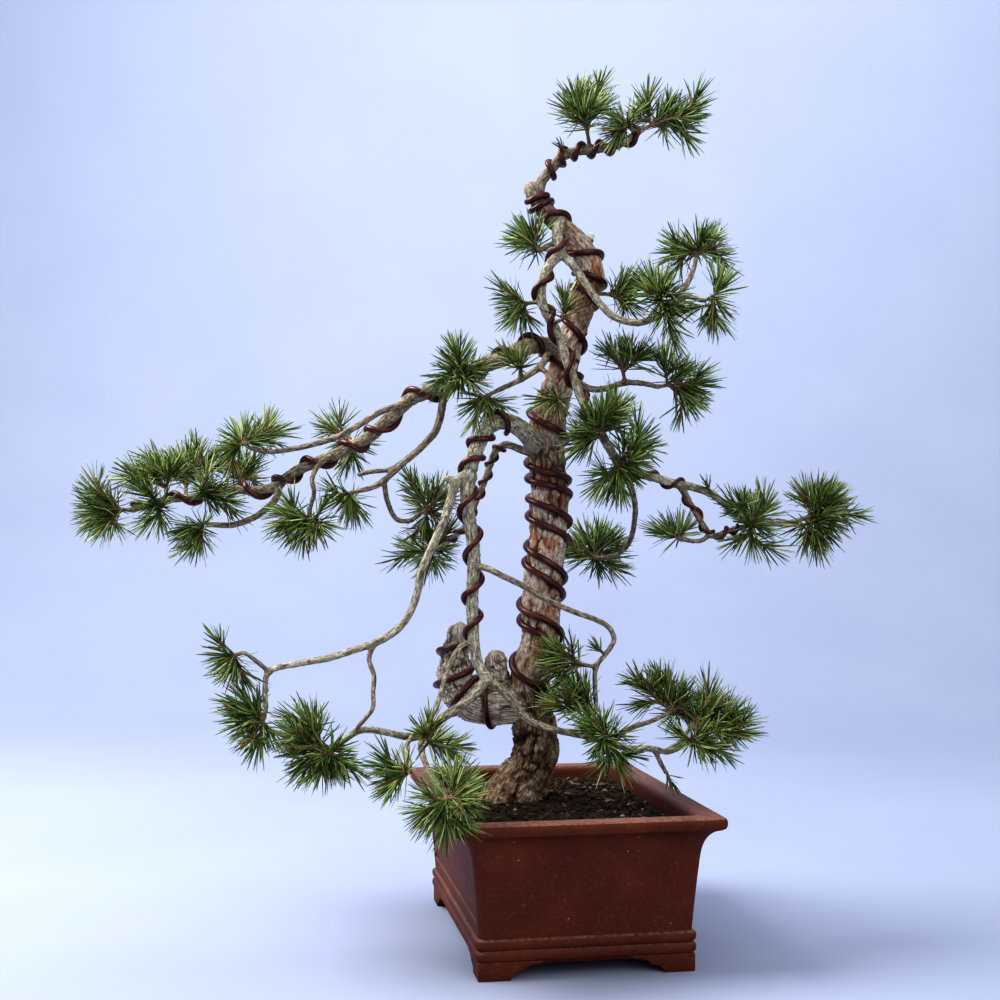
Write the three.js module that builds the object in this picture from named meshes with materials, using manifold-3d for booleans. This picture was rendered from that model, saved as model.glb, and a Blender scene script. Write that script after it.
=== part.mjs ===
// A trained scots pine bonsai with training wires, in a rectangular unglazed clay pot.
// Millimetres, +Z up. X runs along the pot's short side and Y along its long side.
import * as THREE from "three";
import { mergeVertices } from "three/addons/utils/BufferGeometryUtils.js";
import Module from "manifold-3d";

const wasm = await Module();
wasm.setup();

// Pot: outer sizes over the rim, and the heights of its main levels
const POT_WIDTH = 220;
const POT_LENGTH = 312;
const POT_HEIGHT = 125;
const FLOOR_TOP = 27;
const BASE_HEIGHT = 14.5;
const SOIL_HEIGHT = 115;
const CORNER_RADIUS = 7;
const CORNER_STEPS = 4;
const DRAIN_RADIUS = 11;
const DRAIN_PLACE = 62;
const PANEL_DEPTH = 1.6;

// The tree's front is turned from the pot's short side by this angle
const FRONT_TURN = 0.1751;
// The eye that looks at the tree's front, seen from the middle of the pot's base
const EYE = new THREE.Vector3(-46.3, -1271, 338.8);

// Clearances between solids that touch in the real thing
const GAP = 0.35;
const WIRE_GAP = 0.5;

// Needles: a pair grows as one blade here, and each shoot is a slim core drawn out into them
const NEEDLE_LENGTH = 27;
const NEEDLE_SHORTEST = 0.86;
const NEEDLE_SPREAD = 0.24;
const NEEDLE_SHARES = [1, 0.8, 0.6];
const NEEDLE_ROOT = 1.9;
const NEEDLE_POINT = 0.2;
const NEEDLE_LEAN_LOW = 1.3;
const NEEDLE_LEAN_TIP = 0.38;
const NEEDLE_BANDS = 3;
const FACES_PER_BARE_FACE = 4;
const CORE_RADIUS = 1.35;
const FORK_RADIUS = 1.8;
const SIDE_CORE_RADIUS = 0.5;
const SIDE_CORE_STEP = 0.6;
const CORE_SIDES = 3;
const CORE_STEP = 5.5;
const RING_TWIST = 0.22;
const BUD_LENGTH = 3;
const STEM_LENGTH = 4;

// Where the photograph shows the middle of the pot's base, in its pixels, and the size of a pixel on
// the upright plane through the trunk
const BASE_PIXEL = [552.6, 932.6];
const PIXEL = 0.88;

// Wood routes, from root to tip. Each point is [u, v, depth, radius]: its pixel in the photograph,
// how far it is behind the trunk's plane, and how thick the wood is.
const ROUTES = {
  trunk: [
    [500, 822, 14, 26], [508, 806, 12, 26], [517, 790, 9, 24], [530, 768, 6, 20],
    [536, 745, 4, 19], [533, 708, 1, 17.5], [531, 675, 0, 16.5], [540, 640, 0, 16],
    [541, 600, 0, 16.5], [547, 550, 0, 16], [549, 500, 0, 16], [547, 460, 0, 15.5],
    [548, 420, 1, 15], [560, 380, 3, 13.5], [568, 350, 4, 11.5], [582, 305, 5, 10.5],
    [590, 277, 5, 12], [585, 255, 4, 11], [572, 238, 3, 9.5], [556, 222, 1, 8.5],
    [540, 205, 0, 7.5], [532, 190, 0, 7],
  ],
  apex: [
    [538, 200, 0, 5.5], [541, 183, -4, 4.6], [551, 170, -6, 4.4], [562, 157, -9, 4.2],
    [575, 152, -12, 4], [590, 150, -14, 4], [605, 148, -15, 3.8], [618, 145, -15, 3.6],
    [631, 138, -14, 3.2], [641, 130, -12, 2.8], [648, 127, -12, 1.6],
  ],
  grey: [
    [560, 222, -4, 5], [557, 235, -16, 4.6], [560, 252, -23, 4.4], [549, 266, -27, 4.3],
    [542, 284, -29, 4.2], [542, 302, -30, 4.1], [550, 320, -31, 4], [561, 340, -33, 4],
    [567, 362, -36, 3.9], [575, 382, -39, 3.9], [582, 400, -41, 3.8], [592, 418, -43, 3.8],
    [608, 446, -44, 3.8], [624, 469, -44, 3.8], [652, 477, -42, 3.7], [670, 483, -40, 3.6],
    [691, 487, -36, 3.4], [711, 494, -32, 3.2], [723, 503, -28, 3], [735, 514, -24, 2.9],
    [752, 522, -19, 2.8], [772, 524, -14, 2.6], [789, 523, -9, 2.4], [803, 519, -6, 2.2],
    [808, 517, -5, 1.6],
  ],
  grey_right: [
    [561, 254, -23, 3.6], [573, 266, -28, 3.4], [586, 284, -31, 3.2], [600, 304, -35, 3.1],
    [614, 317, -39, 3], [638, 323, -46, 3], [660, 315, -50, 2.9], [673, 302, -51, 2.7],
    [687, 284, -49, 2.4], [695, 265, -46, 2], [696, 258, -46, 1.6],
  ],
  grey_fork: [
    [675, 300, -51, 2.2], [689, 297, -55, 2], [703, 301, -60, 1.8], [708, 299, -62, 1.6],
  ],
  big_left: [
    [560, 350, 3, 8], [536, 345, -10, 7.5], [518, 351, -16, 7.2], [505, 358, -18, 7],
    [480, 367, -19, 6.6], [467, 374, -20, 6.4], [447, 388, -20, 6.2], [429, 392, -18, 6],
    [410, 400, -16, 5.8], [386, 422, -12, 5.5], [368, 438, -9, 5.3], [347, 449, -6, 5.1],
    [326, 459, -3, 4.9], [303, 468, 0, 4.6], [285, 479, 3, 4.4], [272, 488, 5, 4.2],
    [250, 491, 7, 3.9], [225, 489, 9, 3.6], [195, 497, 11, 3.3], [163, 501, 12, 3],
    [133, 510, 12, 2.6], [126, 510, 12, 1.6],
  ],
  left_top: [
    [406, 404, -20, 2.8], [381, 412, -26, 2.6], [358, 426, -27, 2.6], [335, 438, -24, 2.5],
    [312, 445, -20, 2.4], [294, 449, -16, 2.3], [271, 452, -12, 2.1], [252, 449, -10, 1.9],
    [247, 446, -10, 1.6],
  ],
  left_drop: [
    [333, 455, -6, 2.4], [319, 465, -18, 2.2], [312, 479, -25, 2.1], [314, 493, -29, 2],
    [310, 508, -31, 1.9], [310, 513, -32, 1.6],
  ],
  left_low: [
    [280, 484, 4, 3.2], [275, 500, -5, 3], [257, 516, -12, 2.8], [234, 525, -16, 2.6],
    [212, 525, -20, 2.2], [206, 524, -22, 1.6],
  ],
  left_hang: [
    [445, 390, -19, 3.6], [437, 428, -23, 3.2], [422, 447, -26, 3], [401, 465, -29, 2.8],
    [385, 480, -30, 2.6], [374, 487, -32, 2.4], [360, 491, -35, 2], [355, 492, -36, 1.6],
  ],
  left_hang_twig: [
    [402, 464, -29, 2.2], [389, 470, -27, 2], [371, 472, -25, 1.9], [359, 475, -24, 1.8],
  ],
  left_hang_down: [
    [384, 481, -30, 2.3], [387, 500, -24, 2.2], [396, 519, -14, 2.1], [410, 521, -2, 2],
    [420, 514, 8, 1.9], [425, 511, 13, 1.6],
  ],
  middle_twig: [
    [549, 349, -4, 3.4], [541, 366, -34, 2.9], [522, 379, -43, 2.5], [497, 391, -46, 2],
    [491, 394, -47, 1.6],
  ],
  middle_front: [
    [540, 367, -35, 2.2], [552, 380, -46, 2], [556, 391, -54, 1.8], [557, 395, -60, 1.6],
  ],
  upper_right: [
    [564, 368, 2, 3.6], [578, 382, 0, 3], [590, 389, -2, 2.8], [605, 389, -5, 2.7],
    [625, 383, -9, 2.6], [645, 384, -13, 2.3], [658, 387, -16, 2], [664, 386, -18, 1.6],
  ],
  cascade: [
    [546, 452, 0, 9], [533, 441, -12, 8.4], [519, 428, -21, 7.6], [502, 421, -29, 7.2],
    [489, 427, -34, 6.8], [479, 443, -37, 6.5], [472, 462, -39, 6.2], [468, 482, -41, 6],
    [467, 502, -42, 5.8], [470, 523, -43, 5.6], [473, 543, -44, 5.5], [474, 564, -45, 5.4],
    [473, 584, -46, 5.3], [472, 604, -47, 5.2], [473, 625, -49, 5], [474, 645, -52, 4.8],
    [478, 664, -56, 4.6], [488, 681, -61, 4.5],
  ],
  cascade_left: [
    [486, 680, -60, 4.2], [476, 693, -65, 4], [461, 706, -70, 3.8], [446, 716, -76, 3.6],
    [433, 726, -84, 3.4], [421, 734, -92, 3.2], [408, 737, -98, 3], [388, 733, -104, 2.8],
    [369, 730, -108, 2.7], [357, 732, -110, 2.5], [343, 741, -112, 2.3], [333, 746, -112, 2],
    [328, 748, -112, 1.6],
  ],
  cascade_right: [
    [488, 681, -61, 3.8], [501, 690, -60, 3.6], [514, 704, -59, 3.4], [524, 716, -58, 3.2],
    [536, 724, -58, 3], [559, 731, -60, 2.8], [588, 737, -63, 2.8], [612, 744, -65, 2.8],
    [630, 749, -66, 2.7], [652, 749, -66, 2.6], [668, 752, -64, 2.4], [684, 745, -62, 2],
    [689, 743, -62, 1.6],
  ],
  right_inner: [
    [612, 744, -65, 2.4], [620, 735, -55, 2.3], [634, 727, -44, 2.2], [650, 722, -36, 2],
    [664, 716, -30, 1.8], [669, 713, -26, 1.6],
  ],
  right_hang: [
    [655, 751, -66, 2], [660, 762, -68, 1.9], [666, 773, -69, 1.7],
  ],
  cascade_thin: [
    [474, 642, -52, 2.4], [463, 645, -60, 2.2], [452, 659, -66, 2.1], [445, 678, -70, 2],
    [440, 696, -75, 2], [435, 712, -84, 1.9], [424, 724, -100, 1.8], [414, 734, -112, 1.8],
    [406, 748, -122, 1.8], [410, 763, -134, 1.7], [410, 768, -138, 1.6],
  ],
  pad_stem: [
    [424, 732, -91, 2.8], [421, 745, -108, 2.5], [424, 760, -128, 2.4], [432, 776, -150, 2.2],
    [442, 790, -172, 2], [445, 796, -180, 1.6],
  ],
  long_left: [
    [472, 478, -41, 4.2], [462, 477, -43, 4], [455, 486, -46, 3.8], [450, 502, -48, 3.7],
    [445, 519, -51, 3.6], [437, 537, -54, 3.5], [429, 553, -57, 3.4], [421, 574, -61, 3.3],
    [417, 594, -64, 3.2], [410, 613, -68, 3.1], [398, 629, -72, 3.1], [380, 641, -76, 3],
    [355, 650, -80, 2.9], [326, 659, -84, 2.8], [298, 664, -86, 2.6], [269, 672, -88, 2.4],
    [265, 690, -91, 2.2], [266, 707, -94, 2], [265, 713, -95, 1.6],
  ],
  long_left_tip: [
    [269, 672, -88, 2], [257, 662, -90, 1.8], [244, 653, -93, 1.6], [240, 654, -94, 1.6],
  ],
  long_twig: [
    [374, 644, -77, 2.1], [369, 659, -82, 2], [374, 676, -88, 1.9], [373, 693, -95, 1.9],
    [373, 708, -104, 1.8], [366, 718, -113, 1.8], [358, 726, -119, 1.7],
  ],
  front_twig: [
    [473, 566, -45, 3], [488, 569, -56, 2.6], [502, 576, -58, 2.5], [523, 586, -58, 2.5],
    [543, 598, -57, 2.4], [560, 606, -55, 2.3], [576, 613, -53, 2.3], [596, 620, -51, 2.2],
    [609, 628, -50, 2.2], [614, 640, -50, 2.1], [606, 654, -51, 2], [596, 667, -52, 2],
    [595, 688, -52, 1.9], [596, 704, -52, 1.8], [596, 709, -52, 1.6],
  ],
  wired_twig: [
    [540, 455, -2, 4], [524, 451, -8, 3.4], [506, 445, -8, 3.1], [496, 451, -6, 3],
    [490, 466, -2, 2.9], [484, 483, 2, 2.7], [477, 500, 6, 2.6], [466, 525, 10, 2.4],
    [453, 538, 13, 2.2], [440, 548, 16, 2], [434, 551, 19, 1.6],
  ],
  hang_right: [
    [622, 467, -44, 2.8], [630, 484, -38, 2.5], [635, 505, -26, 2.4], [634, 525, -12, 2.3],
    [629, 543, 2, 2.2], [617, 555, 14, 2.1], [603, 558, 24, 2], [598, 558, 28, 1.6],
  ],
  right_low: [
    [681, 486, -38, 3.4], [689, 502, -45, 2.6], [697, 515, -49, 2.5], [705, 528, -52, 2.4],
    [713, 536, -53, 2.3], [729, 531, -50, 2.1], [742, 528, -47, 2], [747, 526, -46, 1.6],
  ],
  right_low_left: [
    [710, 535, -52, 2], [701, 541, -55, 1.9], [689, 541, -58, 1.7], [683, 540, -60, 1.6],
  ],
  deadwood: [
    [533, 704, 2, 17], [500, 705, 2, 17], [474, 701, 2, 18], [458, 688, 2, 16.5],
    [454, 664, 2, 13.5], [456, 645, 2, 10.5], [457, 634, 2, 9],
  ],
  deadwood_stub: [
    [499, 704, 2, 12], [498, 682, 2, 10.5], [495, 661, 2, 9],
  ],
  dark_stub: [
    [583, 256, 4, 3.5], [588, 245, 4, 3.4], [591, 236, 4, 3.3],
  ],
  left_stub: [
    [458, 484, -45, 3], [447, 479, -46, 2.8],
  ],
};

// Training wires. Each follows stretches of routes, [route, first point, last point], passes in
// front of the wood at the given places along them, and turns the way that hand says.
const WIRES = {
  wire_trunk_first: {
    along: [["trunk", 4, 13]], gauge: 3, hand: -1,
    passes: [1.82, 3.57, 4.78, 5.83, 6.65, 7.8], lead: 0.4, tail: 0.4,
  },
  wire_trunk_second: {
    along: [["trunk", 4, 13]], gauge: 3, hand: -1,
    passes: [3.17, 4.46, 5.44, 6.34], lead: 0.4, tail: 0.5,
  },
  wire_crown: {
    along: [["trunk", 13, 21]], gauge: 2.7, hand: -1,
    passes: [0.35, 1.4, 2.35, 2.95, 4, 6.4, 6.9, 7.35], lead: 0.4, tail: 0.2,
  },
  wire_apex: {
    along: [["apex", 1, 9]], gauge: 2.4, hand: -1,
    passes: [1, 2, 3.2, 4.4, 5.7, 7.3], lead: 0.3, tail: 0.4,
  },
  wire_grey_branch: {
    along: [["grey", 1, 12]], gauge: 2.5, hand: 1,
    passes: [0.9, 3.05, 5.1, 7.3, 9.3], lead: 0.3, tail: 0.4,
  },
  wire_cascade: {
    along: [["cascade", 1, 17]], gauge: 2.5, hand: 1,
    passes: [2, 3.9, 4.9, 7, 9.1, 11.3, 13], lead: 0.4, tail: 0.4,
  },
  wire_big_left: {
    along: [["big_left", 0, 20]], gauge: 2.6, hand: 1,
    passes: [1, 2.6, 4.7, 7.3, 9.5, 10.7, 12.4, 14, 16, 17.1, 18.35, 19.6], lead: 0.15, tail: 0.3,
  },
  wire_small_branch: {
    along: [["wired_twig", 2, 9]], gauge: 1.5, hand: 1,
    passes: [0.6, 1.7, 2.8, 3.9, 4.7, 5.5, 6.2], lead: 0.3, tail: 0.3,
  },
  wire_right_branch: {
    along: [["grey", 13, 15], ["right_low", 0, 6]], gauge: 1.6, hand: -1,
    passes: [0.75, 2.25, 4.5, 6.5, 7.7, 8.5], lead: 0.2, tail: 0.2,
  },
  wire_deadwood: {
    along: [["deadwood", 0, 6]], gauge: 2.7, hand: 1,
    passes: [1.55, 2.75, 3.5, 4.9], lead: 0.3, tail: 0.5,
  },
};

// Needle sprays. Each is the tip of a route, or grows from a spur that leaves a route, [route, point
// number], and ends at end. Its shoots run to the tips. Places are [u, v, depth], as on the routes.
const SPRAYS = {
  apex_up: { from: ["apex", 5], end: [588, 137, -20],
    tips: [[574, 101, -24], [594, 99, -12], [583, 113, -38]] },
  apex_right: { tipOf: "apex", tips: [[690, 112, -20], [683, 126, 2], [645, 106, -2]] },
  apex_front: { from: ["apex", 8.5], end: [630, 128, -26], tips: [[617, 133, -40], [622, 120, -8]] },
  crown_left: { from: ["grey", 1.3], end: [544, 249, -20], tips: [[525, 236, -22], [527, 244, 8]] },
  upper_left: { from: ["grey", 5], end: [532, 303, -28], tips: [[512, 299, -38], [517, 317, -16]] },
  upper_front: { from: ["grey", 6.2], end: [561, 320, -50], tips: [[567, 307, -66]] },
  burl_right: { from: ["trunk", 15.5], end: [604, 294, -2], tips: [[628, 283, 6], [629, 302, -20]] },
  bend: { from: ["grey_right", 6.3], end: [661, 303, -60],
    tips: [[652, 284, -64], [664, 292, -84], [671, 326, -74]] },
  ridge_up: { tipOf: "grey_right", tips: [[700, 244, -52], [716, 252, -28], [674, 254, -34]] },
  ridge_right: { tipOf: "grey_fork", tips: [[721, 287, -64], [711, 317, -74]] },
  middle_right_up: { from: ["upper_right", 4], end: [624, 377, -10],
    tips: [[613, 356, -4], [638, 357, -22]] },
  middle_right_end: { tipOf: "upper_right", tips: [[697, 384, -26], [691, 405, -6], [664, 363, -30]] },
  heart_upper: { from: ["grey", 11.8], end: [603, 436, -57],
    tips: [[590, 423, -68], [580, 447, -52], [620, 414, -44], [607, 411, -66]] },
  heart_lower: { from: ["grey", 12.5], end: [618, 462, -57],
    tips: [[640, 440, -62], [636, 460, -76], [600, 484, -66], [618, 487, -44]] },
  star_left: { from: ["big_left", 5.5], end: [459, 373, -34],
    tips: [[459, 355, -38], [446, 376, -50], [473, 384, -54]] },
  star_middle: { from: ["middle_twig", 2], end: [521, 373, -50], tips: [[519, 364, -66]] },
  twig_end: { tipOf: "middle_twig", tips: [[479, 402, -52], [497, 405, -34]] },
  front_star: { tipOf: "middle_front", tips: [[558, 402, -76]] },
  hang_down_end: { tipOf: "left_hang_down", tips: [[417, 490, 14], [442, 496, 26], [424, 526, 34]] },
  wired_end: { tipOf: "wired_twig", tips: [[414, 550, 20], [436, 562, 36], [444, 535, 40]] },
  hang_right_end: { tipOf: "hang_right",
    tips: [[577, 556, 32], [587, 537, 44], [608, 538, 40], [612, 566, 44]] },
  fork_low_left: { tipOf: "right_low_left", tips: [[672, 534, -66], [684, 530, -50]] },
  fork_low_right: { tipOf: "right_low", tips: [[742, 506, -52], [765, 512, -36], [752, 542, -58]] },
  right_end: { tipOf: "grey",
    tips: [[806, 496, 2], [829, 496, -16], [842, 513, 6], [824, 533, -18], [806, 541, -26]] },
  left_tip: { tipOf: "big_left", tips: [[96, 493, 6], [92, 512, 18], [104, 527, -2]] },
  left_back: { from: ["big_left", 18.3], end: [186, 488, 24],
    tips: [[160, 463, 34], [184, 460, 50], [207, 459, 32]] },
  left_front: { from: ["big_left", 19], end: [160, 503, -4], tips: [[141, 489, -18], [160, 522, -26]] },
  left_crown: { from: ["big_left", 18.9], end: [166, 491, 4], tips: [[133, 474, -4], [172, 470, -12]] },
  left_middle: { from: ["big_left", 17.6], end: [204, 494, -8],
    tips: [[203, 487, -34], [226, 501, -28]] },
  left_low_end: { tipOf: "left_low", tips: [[189, 529, -24], [200, 540, -36]] },
  left_rear: { from: ["big_left", 16.2], end: [243, 484, 22], tips: [[236, 463, 44], [252, 474, 60]] },
  left_top_end: { tipOf: "left_top", tips: [[233, 449, -16], [245, 432, 2], [276, 432, -2]] },
  left_far: { from: ["big_left", 10.8], end: [350, 440, 10], tips: [[331, 427, 22], [354, 458, 30]] },
  drop_end: { tipOf: "left_drop", tips: [[284, 513, -30], [302, 535, -40], [322, 526, -52]] },
  drop_right: { tipOf: "left_hang", tips: [[345, 497, -44], [355, 509, -28]] },
  low_left_top: { tipOf: "long_left_tip", tips: [[229, 656, -98], [236, 672, -84]] },
  low_left_end: { tipOf: "long_left", tips: [[246, 700, -92], [240, 722, -104], [258, 744, -108]] },
  low_left_star: { tipOf: "cascade_left",
    tips: [[296, 735, -126], [307, 718, -100], [302, 763, -106], [330, 768, -116], [344, 762, -134]] },
  thin_end: { tipOf: "cascade_thin", tips: [[387, 767, -134], [395, 784, -152]] },
  pad_up: { from: ["pad_stem", 1.2], end: [426, 745, -116], tips: [[424, 733, -132], [449, 752, -104]] },
  pad_end: { tipOf: "pad_stem",
    tips: [[426, 812, -186], [446, 826, -192], [467, 800, -190], [457, 775, -166]] },
  low_right_left: { from: ["front_twig", 11], end: [589, 666, -54],
    tips: [[558, 654, -62], [553, 669, -44]] },
  low_right_drop: { tipOf: "front_twig", tips: [[576, 690, -56], [557, 706, -66]] },
  low_right_middle: { from: ["cascade_right", 7], end: [610, 740, -73],
    tips: [[590, 727, -84], [604, 735, -102], [619, 764, -86]] },
  low_right_up: { tipOf: "right_inner",
    tips: [[642, 686, -26], [669, 684, -12], [690, 701, -14], [686, 716, 6]] },
  low_right_star: { tipOf: "cascade_right", tips: [[692, 741, -88], [716, 748, -70]] },
  low_right_end: { from: ["cascade_right", 10.5], end: [688, 731, -52],
    tips: [[734, 717, -50], [741, 733, -62], [711, 704, -40]] },
};

// Turns a pixel and a depth into the point at that depth on the eye's line of sight
function sight([u, v, depth]) {
  const across = (u - BASE_PIXEL[0]) * PIXEL;
  const up = (BASE_PIXEL[1] - v) * PIXEL;
  const reach = (depth - EYE.y) / -EYE.y;
  return new THREE.Vector3(
    EYE.x + (across - EYE.x) * reach,
    depth,
    EYE.z + (up - EYE.z) * reach,
  );
}

// Solids from geometries and back, for joining and cutting
const MERGE_DISTANCE = 1e-4;

function toSolid(geometry) {
  const plain = geometry.clone();
  plain.deleteAttribute("normal");
  plain.deleteAttribute("uv");
  const merged = mergeVertices(plain, MERGE_DISTANCE);
  return new wasm.Manifold(new wasm.Mesh({
    numProp: 3,
    vertProperties: new Float32Array(merged.attributes.position.array),
    triVerts: new Uint32Array(merged.index.array),
  }));
}

function toGeometry(solid) {
  const mesh = solid.getMesh();
  const geometry = new THREE.BufferGeometry();
  geometry.setAttribute("position", new THREE.BufferAttribute(mesh.vertProperties, 3));
  geometry.setIndex(new THREE.BufferAttribute(mesh.triVerts, 1));
  geometry.computeVertexNormals();
  return geometry;
}

function join(solids) {
  return solids.reduce((whole, solid) => whole.add(solid));
}

// A small seeded random source, the same on every run
function seeded(seed) {
  let state = seed;
  return () => {
    state = (state * 1664525 + 1013904223) % 4294967296;
    return state / 4294967296;
  };
}

// A cylinder whose rings are moved one by one. place(ring, x, y) gives the new point of the
// vertex at x, y on a circle of radius 1; rings run from 0 at the bottom.
function bentCylinder(sides, rings, place) {
  const shape = new THREE.CylinderGeometry(1, 1, 1, sides, rings);
  const spots = shape.attributes.position;
  for (let i = 0; i < spots.count; i += 1) {
    const ring = Math.round((spots.getY(i) + 0.5) * rings);
    const spot = place(ring, spots.getX(i), spots.getZ(i));
    spots.setXYZ(i, spot.x, spot.y, spot.z);
  }
  return shape;
}

// A unit vector square to a direction
const NEARLY_ALONG = 0.85;

function squareTo(direction) {
  const upright = new THREE.Vector3(0, 0, 1);
  const sideways = new THREE.Vector3(1, 0, 0);
  return (Math.abs(direction.z) < NEARLY_ALONG ? upright : sideways).cross(direction).normalize();
}

// A tapered round bar along points, its cross-sections carried along without twisting
function bar(points, radii, sides) {
  const tangents = points.map((point, i) => {
    const ahead = points[Math.min(i + 1, points.length - 1)];
    const behind = points[Math.max(i - 1, 0)];
    return ahead.clone().sub(behind).normalize();
  });
  let across = squareTo(tangents[0]);
  const frames = tangents.map((tangent, i) => {
    if (i > 0) {
      const turn = new THREE.Quaternion().setFromUnitVectors(tangents[i - 1], tangent);
      across = across.clone().applyQuaternion(turn);
    }
    return { across, up: across.clone().cross(tangent) };
  });
  return bentCylinder(sides, points.length - 1, (ring, x, y) => points[ring].clone()
    .addScaledVector(frames[ring].across, x * radii[ring])
    .addScaledVector(frames[ring].up, y * radii[ring]));
}

// The pot is a stack of rounded rectangles. A profile is a list of [inset from the rim, height],
// and each rectangle has the same number of steps in every corner.
const QUARTER = Math.PI / 2;
const CORNER_SIGNS = [[1, 1], [-1, 1], [-1, -1], [1, -1]];
const ROUNDING = 1e-6;

function rectanglePoint(angle, inset, height) {
  const corner = Math.floor(angle / QUARTER + ROUNDING);
  const step = Math.round((angle / QUARTER - corner) * CORNER_STEPS);
  const turn = (corner + step / (CORNER_STEPS - 1)) * QUARTER;
  const [signX, signY] = CORNER_SIGNS[corner % 4];
  return new THREE.Vector3(
    signX * (POT_WIDTH / 2 - inset - CORNER_RADIUS) + CORNER_RADIUS * Math.cos(turn),
    signY * (POT_LENGTH / 2 - inset - CORNER_RADIUS) + CORNER_RADIUS * Math.sin(turn),
    height,
  );
}

function rectangleStack(profile) {
  return bentCylinder(4 * CORNER_STEPS, profile.length - 1, (ring, x, y) => {
    const [inset, height] = profile[ring];
    const isMiddle = Math.hypot(x, y) < ROUNDING;
    if (isMiddle) {
      return new THREE.Vector3(0, 0, height);
    }
    const angle = (Math.atan2(-y, x) + 4 * QUARTER) % (4 * QUARTER);
    return rectanglePoint(angle, inset, height);
  });
}

// Outside of the pot from its underside to the rounded lip, with the double bead at the foot of
// the wall
const POT_OUTSIDE = [
  [24.5, BASE_HEIGHT - 2.5], [23, BASE_HEIGHT], [20.8, 16], [20.1, 19], [20.8, 22], [22.4, 23.5],
  [20.8, 25], [20.1, 28], [20.8, 31], [23, 32.5], [20.8, 60], [17.8, 90], [16.4, 99], [14.2, 105.5],
  [11, 110.5], [7.5, 113.5], [3, 115.3], [0.9, 116.5], [0, 118.6], [0, 122.3], [1, 124.2], [3, POT_HEIGHT],
];
const POT_INSIDE = [
  [33, FLOOR_TOP], [31, FLOOR_TOP + 3], [27.5, 90], [25, 108], [22.5, 121], [20.5, POT_HEIGHT - 1],
  [19, POT_HEIGHT + 1],
];

// One corner foot, seen from a side: [along the side from the corner, height]
const FOOT_INSET = 22;
const FOOT_LENGTH = 52;
const FOOT_OUTLINE = [
  [0, 0], [26, 0], [27, 3.5], [30.5, 6], [35.5, 6.5], [37.5, 9], [42, 11], [51, 12],
  [FOOT_LENGTH, BASE_HEIGHT], [0, BASE_HEIGHT],
];

// The same stepped outline cuts the foot from both of its sides
function footGeometry() {
  const outline = new THREE.Shape(FOOT_OUTLINE.map(([along, height]) => new THREE.Vector2(along, height)));
  const fromFront = new THREE.ExtrudeGeometry(outline, { depth: FOOT_LENGTH, bevelEnabled: false });
  fromFront.rotateX(QUARTER);
  const fromSide = fromFront.clone().rotateZ(QUARTER);
  fromFront.translate(0, FOOT_LENGTH, 0);
  return toGeometry(toSolid(fromFront).intersect(toSolid(fromSide)));
}

function potFoot(corner) {
  const foot = footGeometry();
  foot.rotateZ((corner + 2) * QUARTER);
  const [signX, signY] = CORNER_SIGNS[corner];
  foot.translate(signX * (POT_WIDTH / 2 - FOOT_INSET), signY * (POT_LENGTH / 2 - FOOT_INSET), 0);
  return toSolid(foot);
}

// The shallow field on each long side, cut by a slab that leans with the wall
const WALL_FOOT = [23, 32.5];
const WALL_TOP = [17.8, 90];
const PANEL_HEIGHT = 46;
const PANEL_MARGIN = 31;
const PANEL_MIDDLE = 66;

function potPanel(sign) {
  const lean = Math.atan2(WALL_FOOT[0] - WALL_TOP[0], WALL_TOP[1] - WALL_FOOT[1]);
  const inset = WALL_FOOT[0] - (PANEL_MIDDLE - WALL_FOOT[1]) * Math.tan(lean);
  const slab = new THREE.BoxGeometry(2 * PANEL_DEPTH, POT_LENGTH - 2 * PANEL_MARGIN, PANEL_HEIGHT);
  slab.rotateY(sign * lean);
  slab.translate(sign * (POT_WIDTH / 2 - inset), 0, PANEL_MIDDLE);
  return toSolid(slab);
}

const DRAIN_SIDES = 12;

function potDrain(sign) {
  const drain = new THREE.CylinderGeometry(DRAIN_RADIUS, DRAIN_RADIUS, 2 * FLOOR_TOP, DRAIN_SIDES);
  drain.rotateX(QUARTER);
  drain.translate(0, sign * DRAIN_PLACE, FLOOR_TOP);
  return toSolid(drain);
}

function buildPot() {
  const feet = [0, 1, 2, 3].map(potFoot);
  const body = join([toSolid(rectangleStack(POT_OUTSIDE)), ...feet]);
  const cuts = [toSolid(rectangleStack(POT_INSIDE)), potPanel(1), potPanel(-1), potDrain(1), potDrain(-1)];
  return cuts.reduce((pot, cut) => pot.subtract(cut), body);
}

// Soil fills the pot and rises a little towards the trunk
const SOIL_PROFILE = [
  [33 + GAP, FLOOR_TOP + GAP], [31 + GAP, FLOOR_TOP + 3], [27.5 + GAP, 90], [25.4 + GAP, 105],
  [24.5, SOIL_HEIGHT - 2], [27, SOIL_HEIGHT], [45, SOIL_HEIGHT - 1], [70, SOIL_HEIGHT + 1.5],
  [100, SOIL_HEIGHT + 3],
];

function buildSoil(trunkHole) {
  return toSolid(rectangleStack(SOIL_PROFILE)).subtract(trunkHole);
}

// Wood: how many sides a bar of a given radius gets
const SIDES_BY_RADIUS = [[12, 9], [5, 6], [3.5, 5], [0, 4]];

function sidesFor(radius) {
  return SIDES_BY_RADIUS.find(([least]) => radius >= least)[1];
}

function routePoints(name) {
  return ROUTES[name].map(sight);
}

function routeRadii(name) {
  return ROUTES[name].map((point) => point[3]);
}

function routeBar(name, growth = 0) {
  const radii = routeRadii(name);
  return bar(routePoints(name), radii.map((radius) => radius + growth), sidesFor(Math.max(...radii)));
}

// The front turned onto the pot: from the tree's own front to the pot's axes
const TO_POT = new THREE.Matrix4().makeRotationZ(-FRONT_TURN);

const SPUR_FOOT_RADIUS = 2;
const SPUR_END_RADIUS = 1.6;
const SPUR_SIDES = 4;

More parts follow.
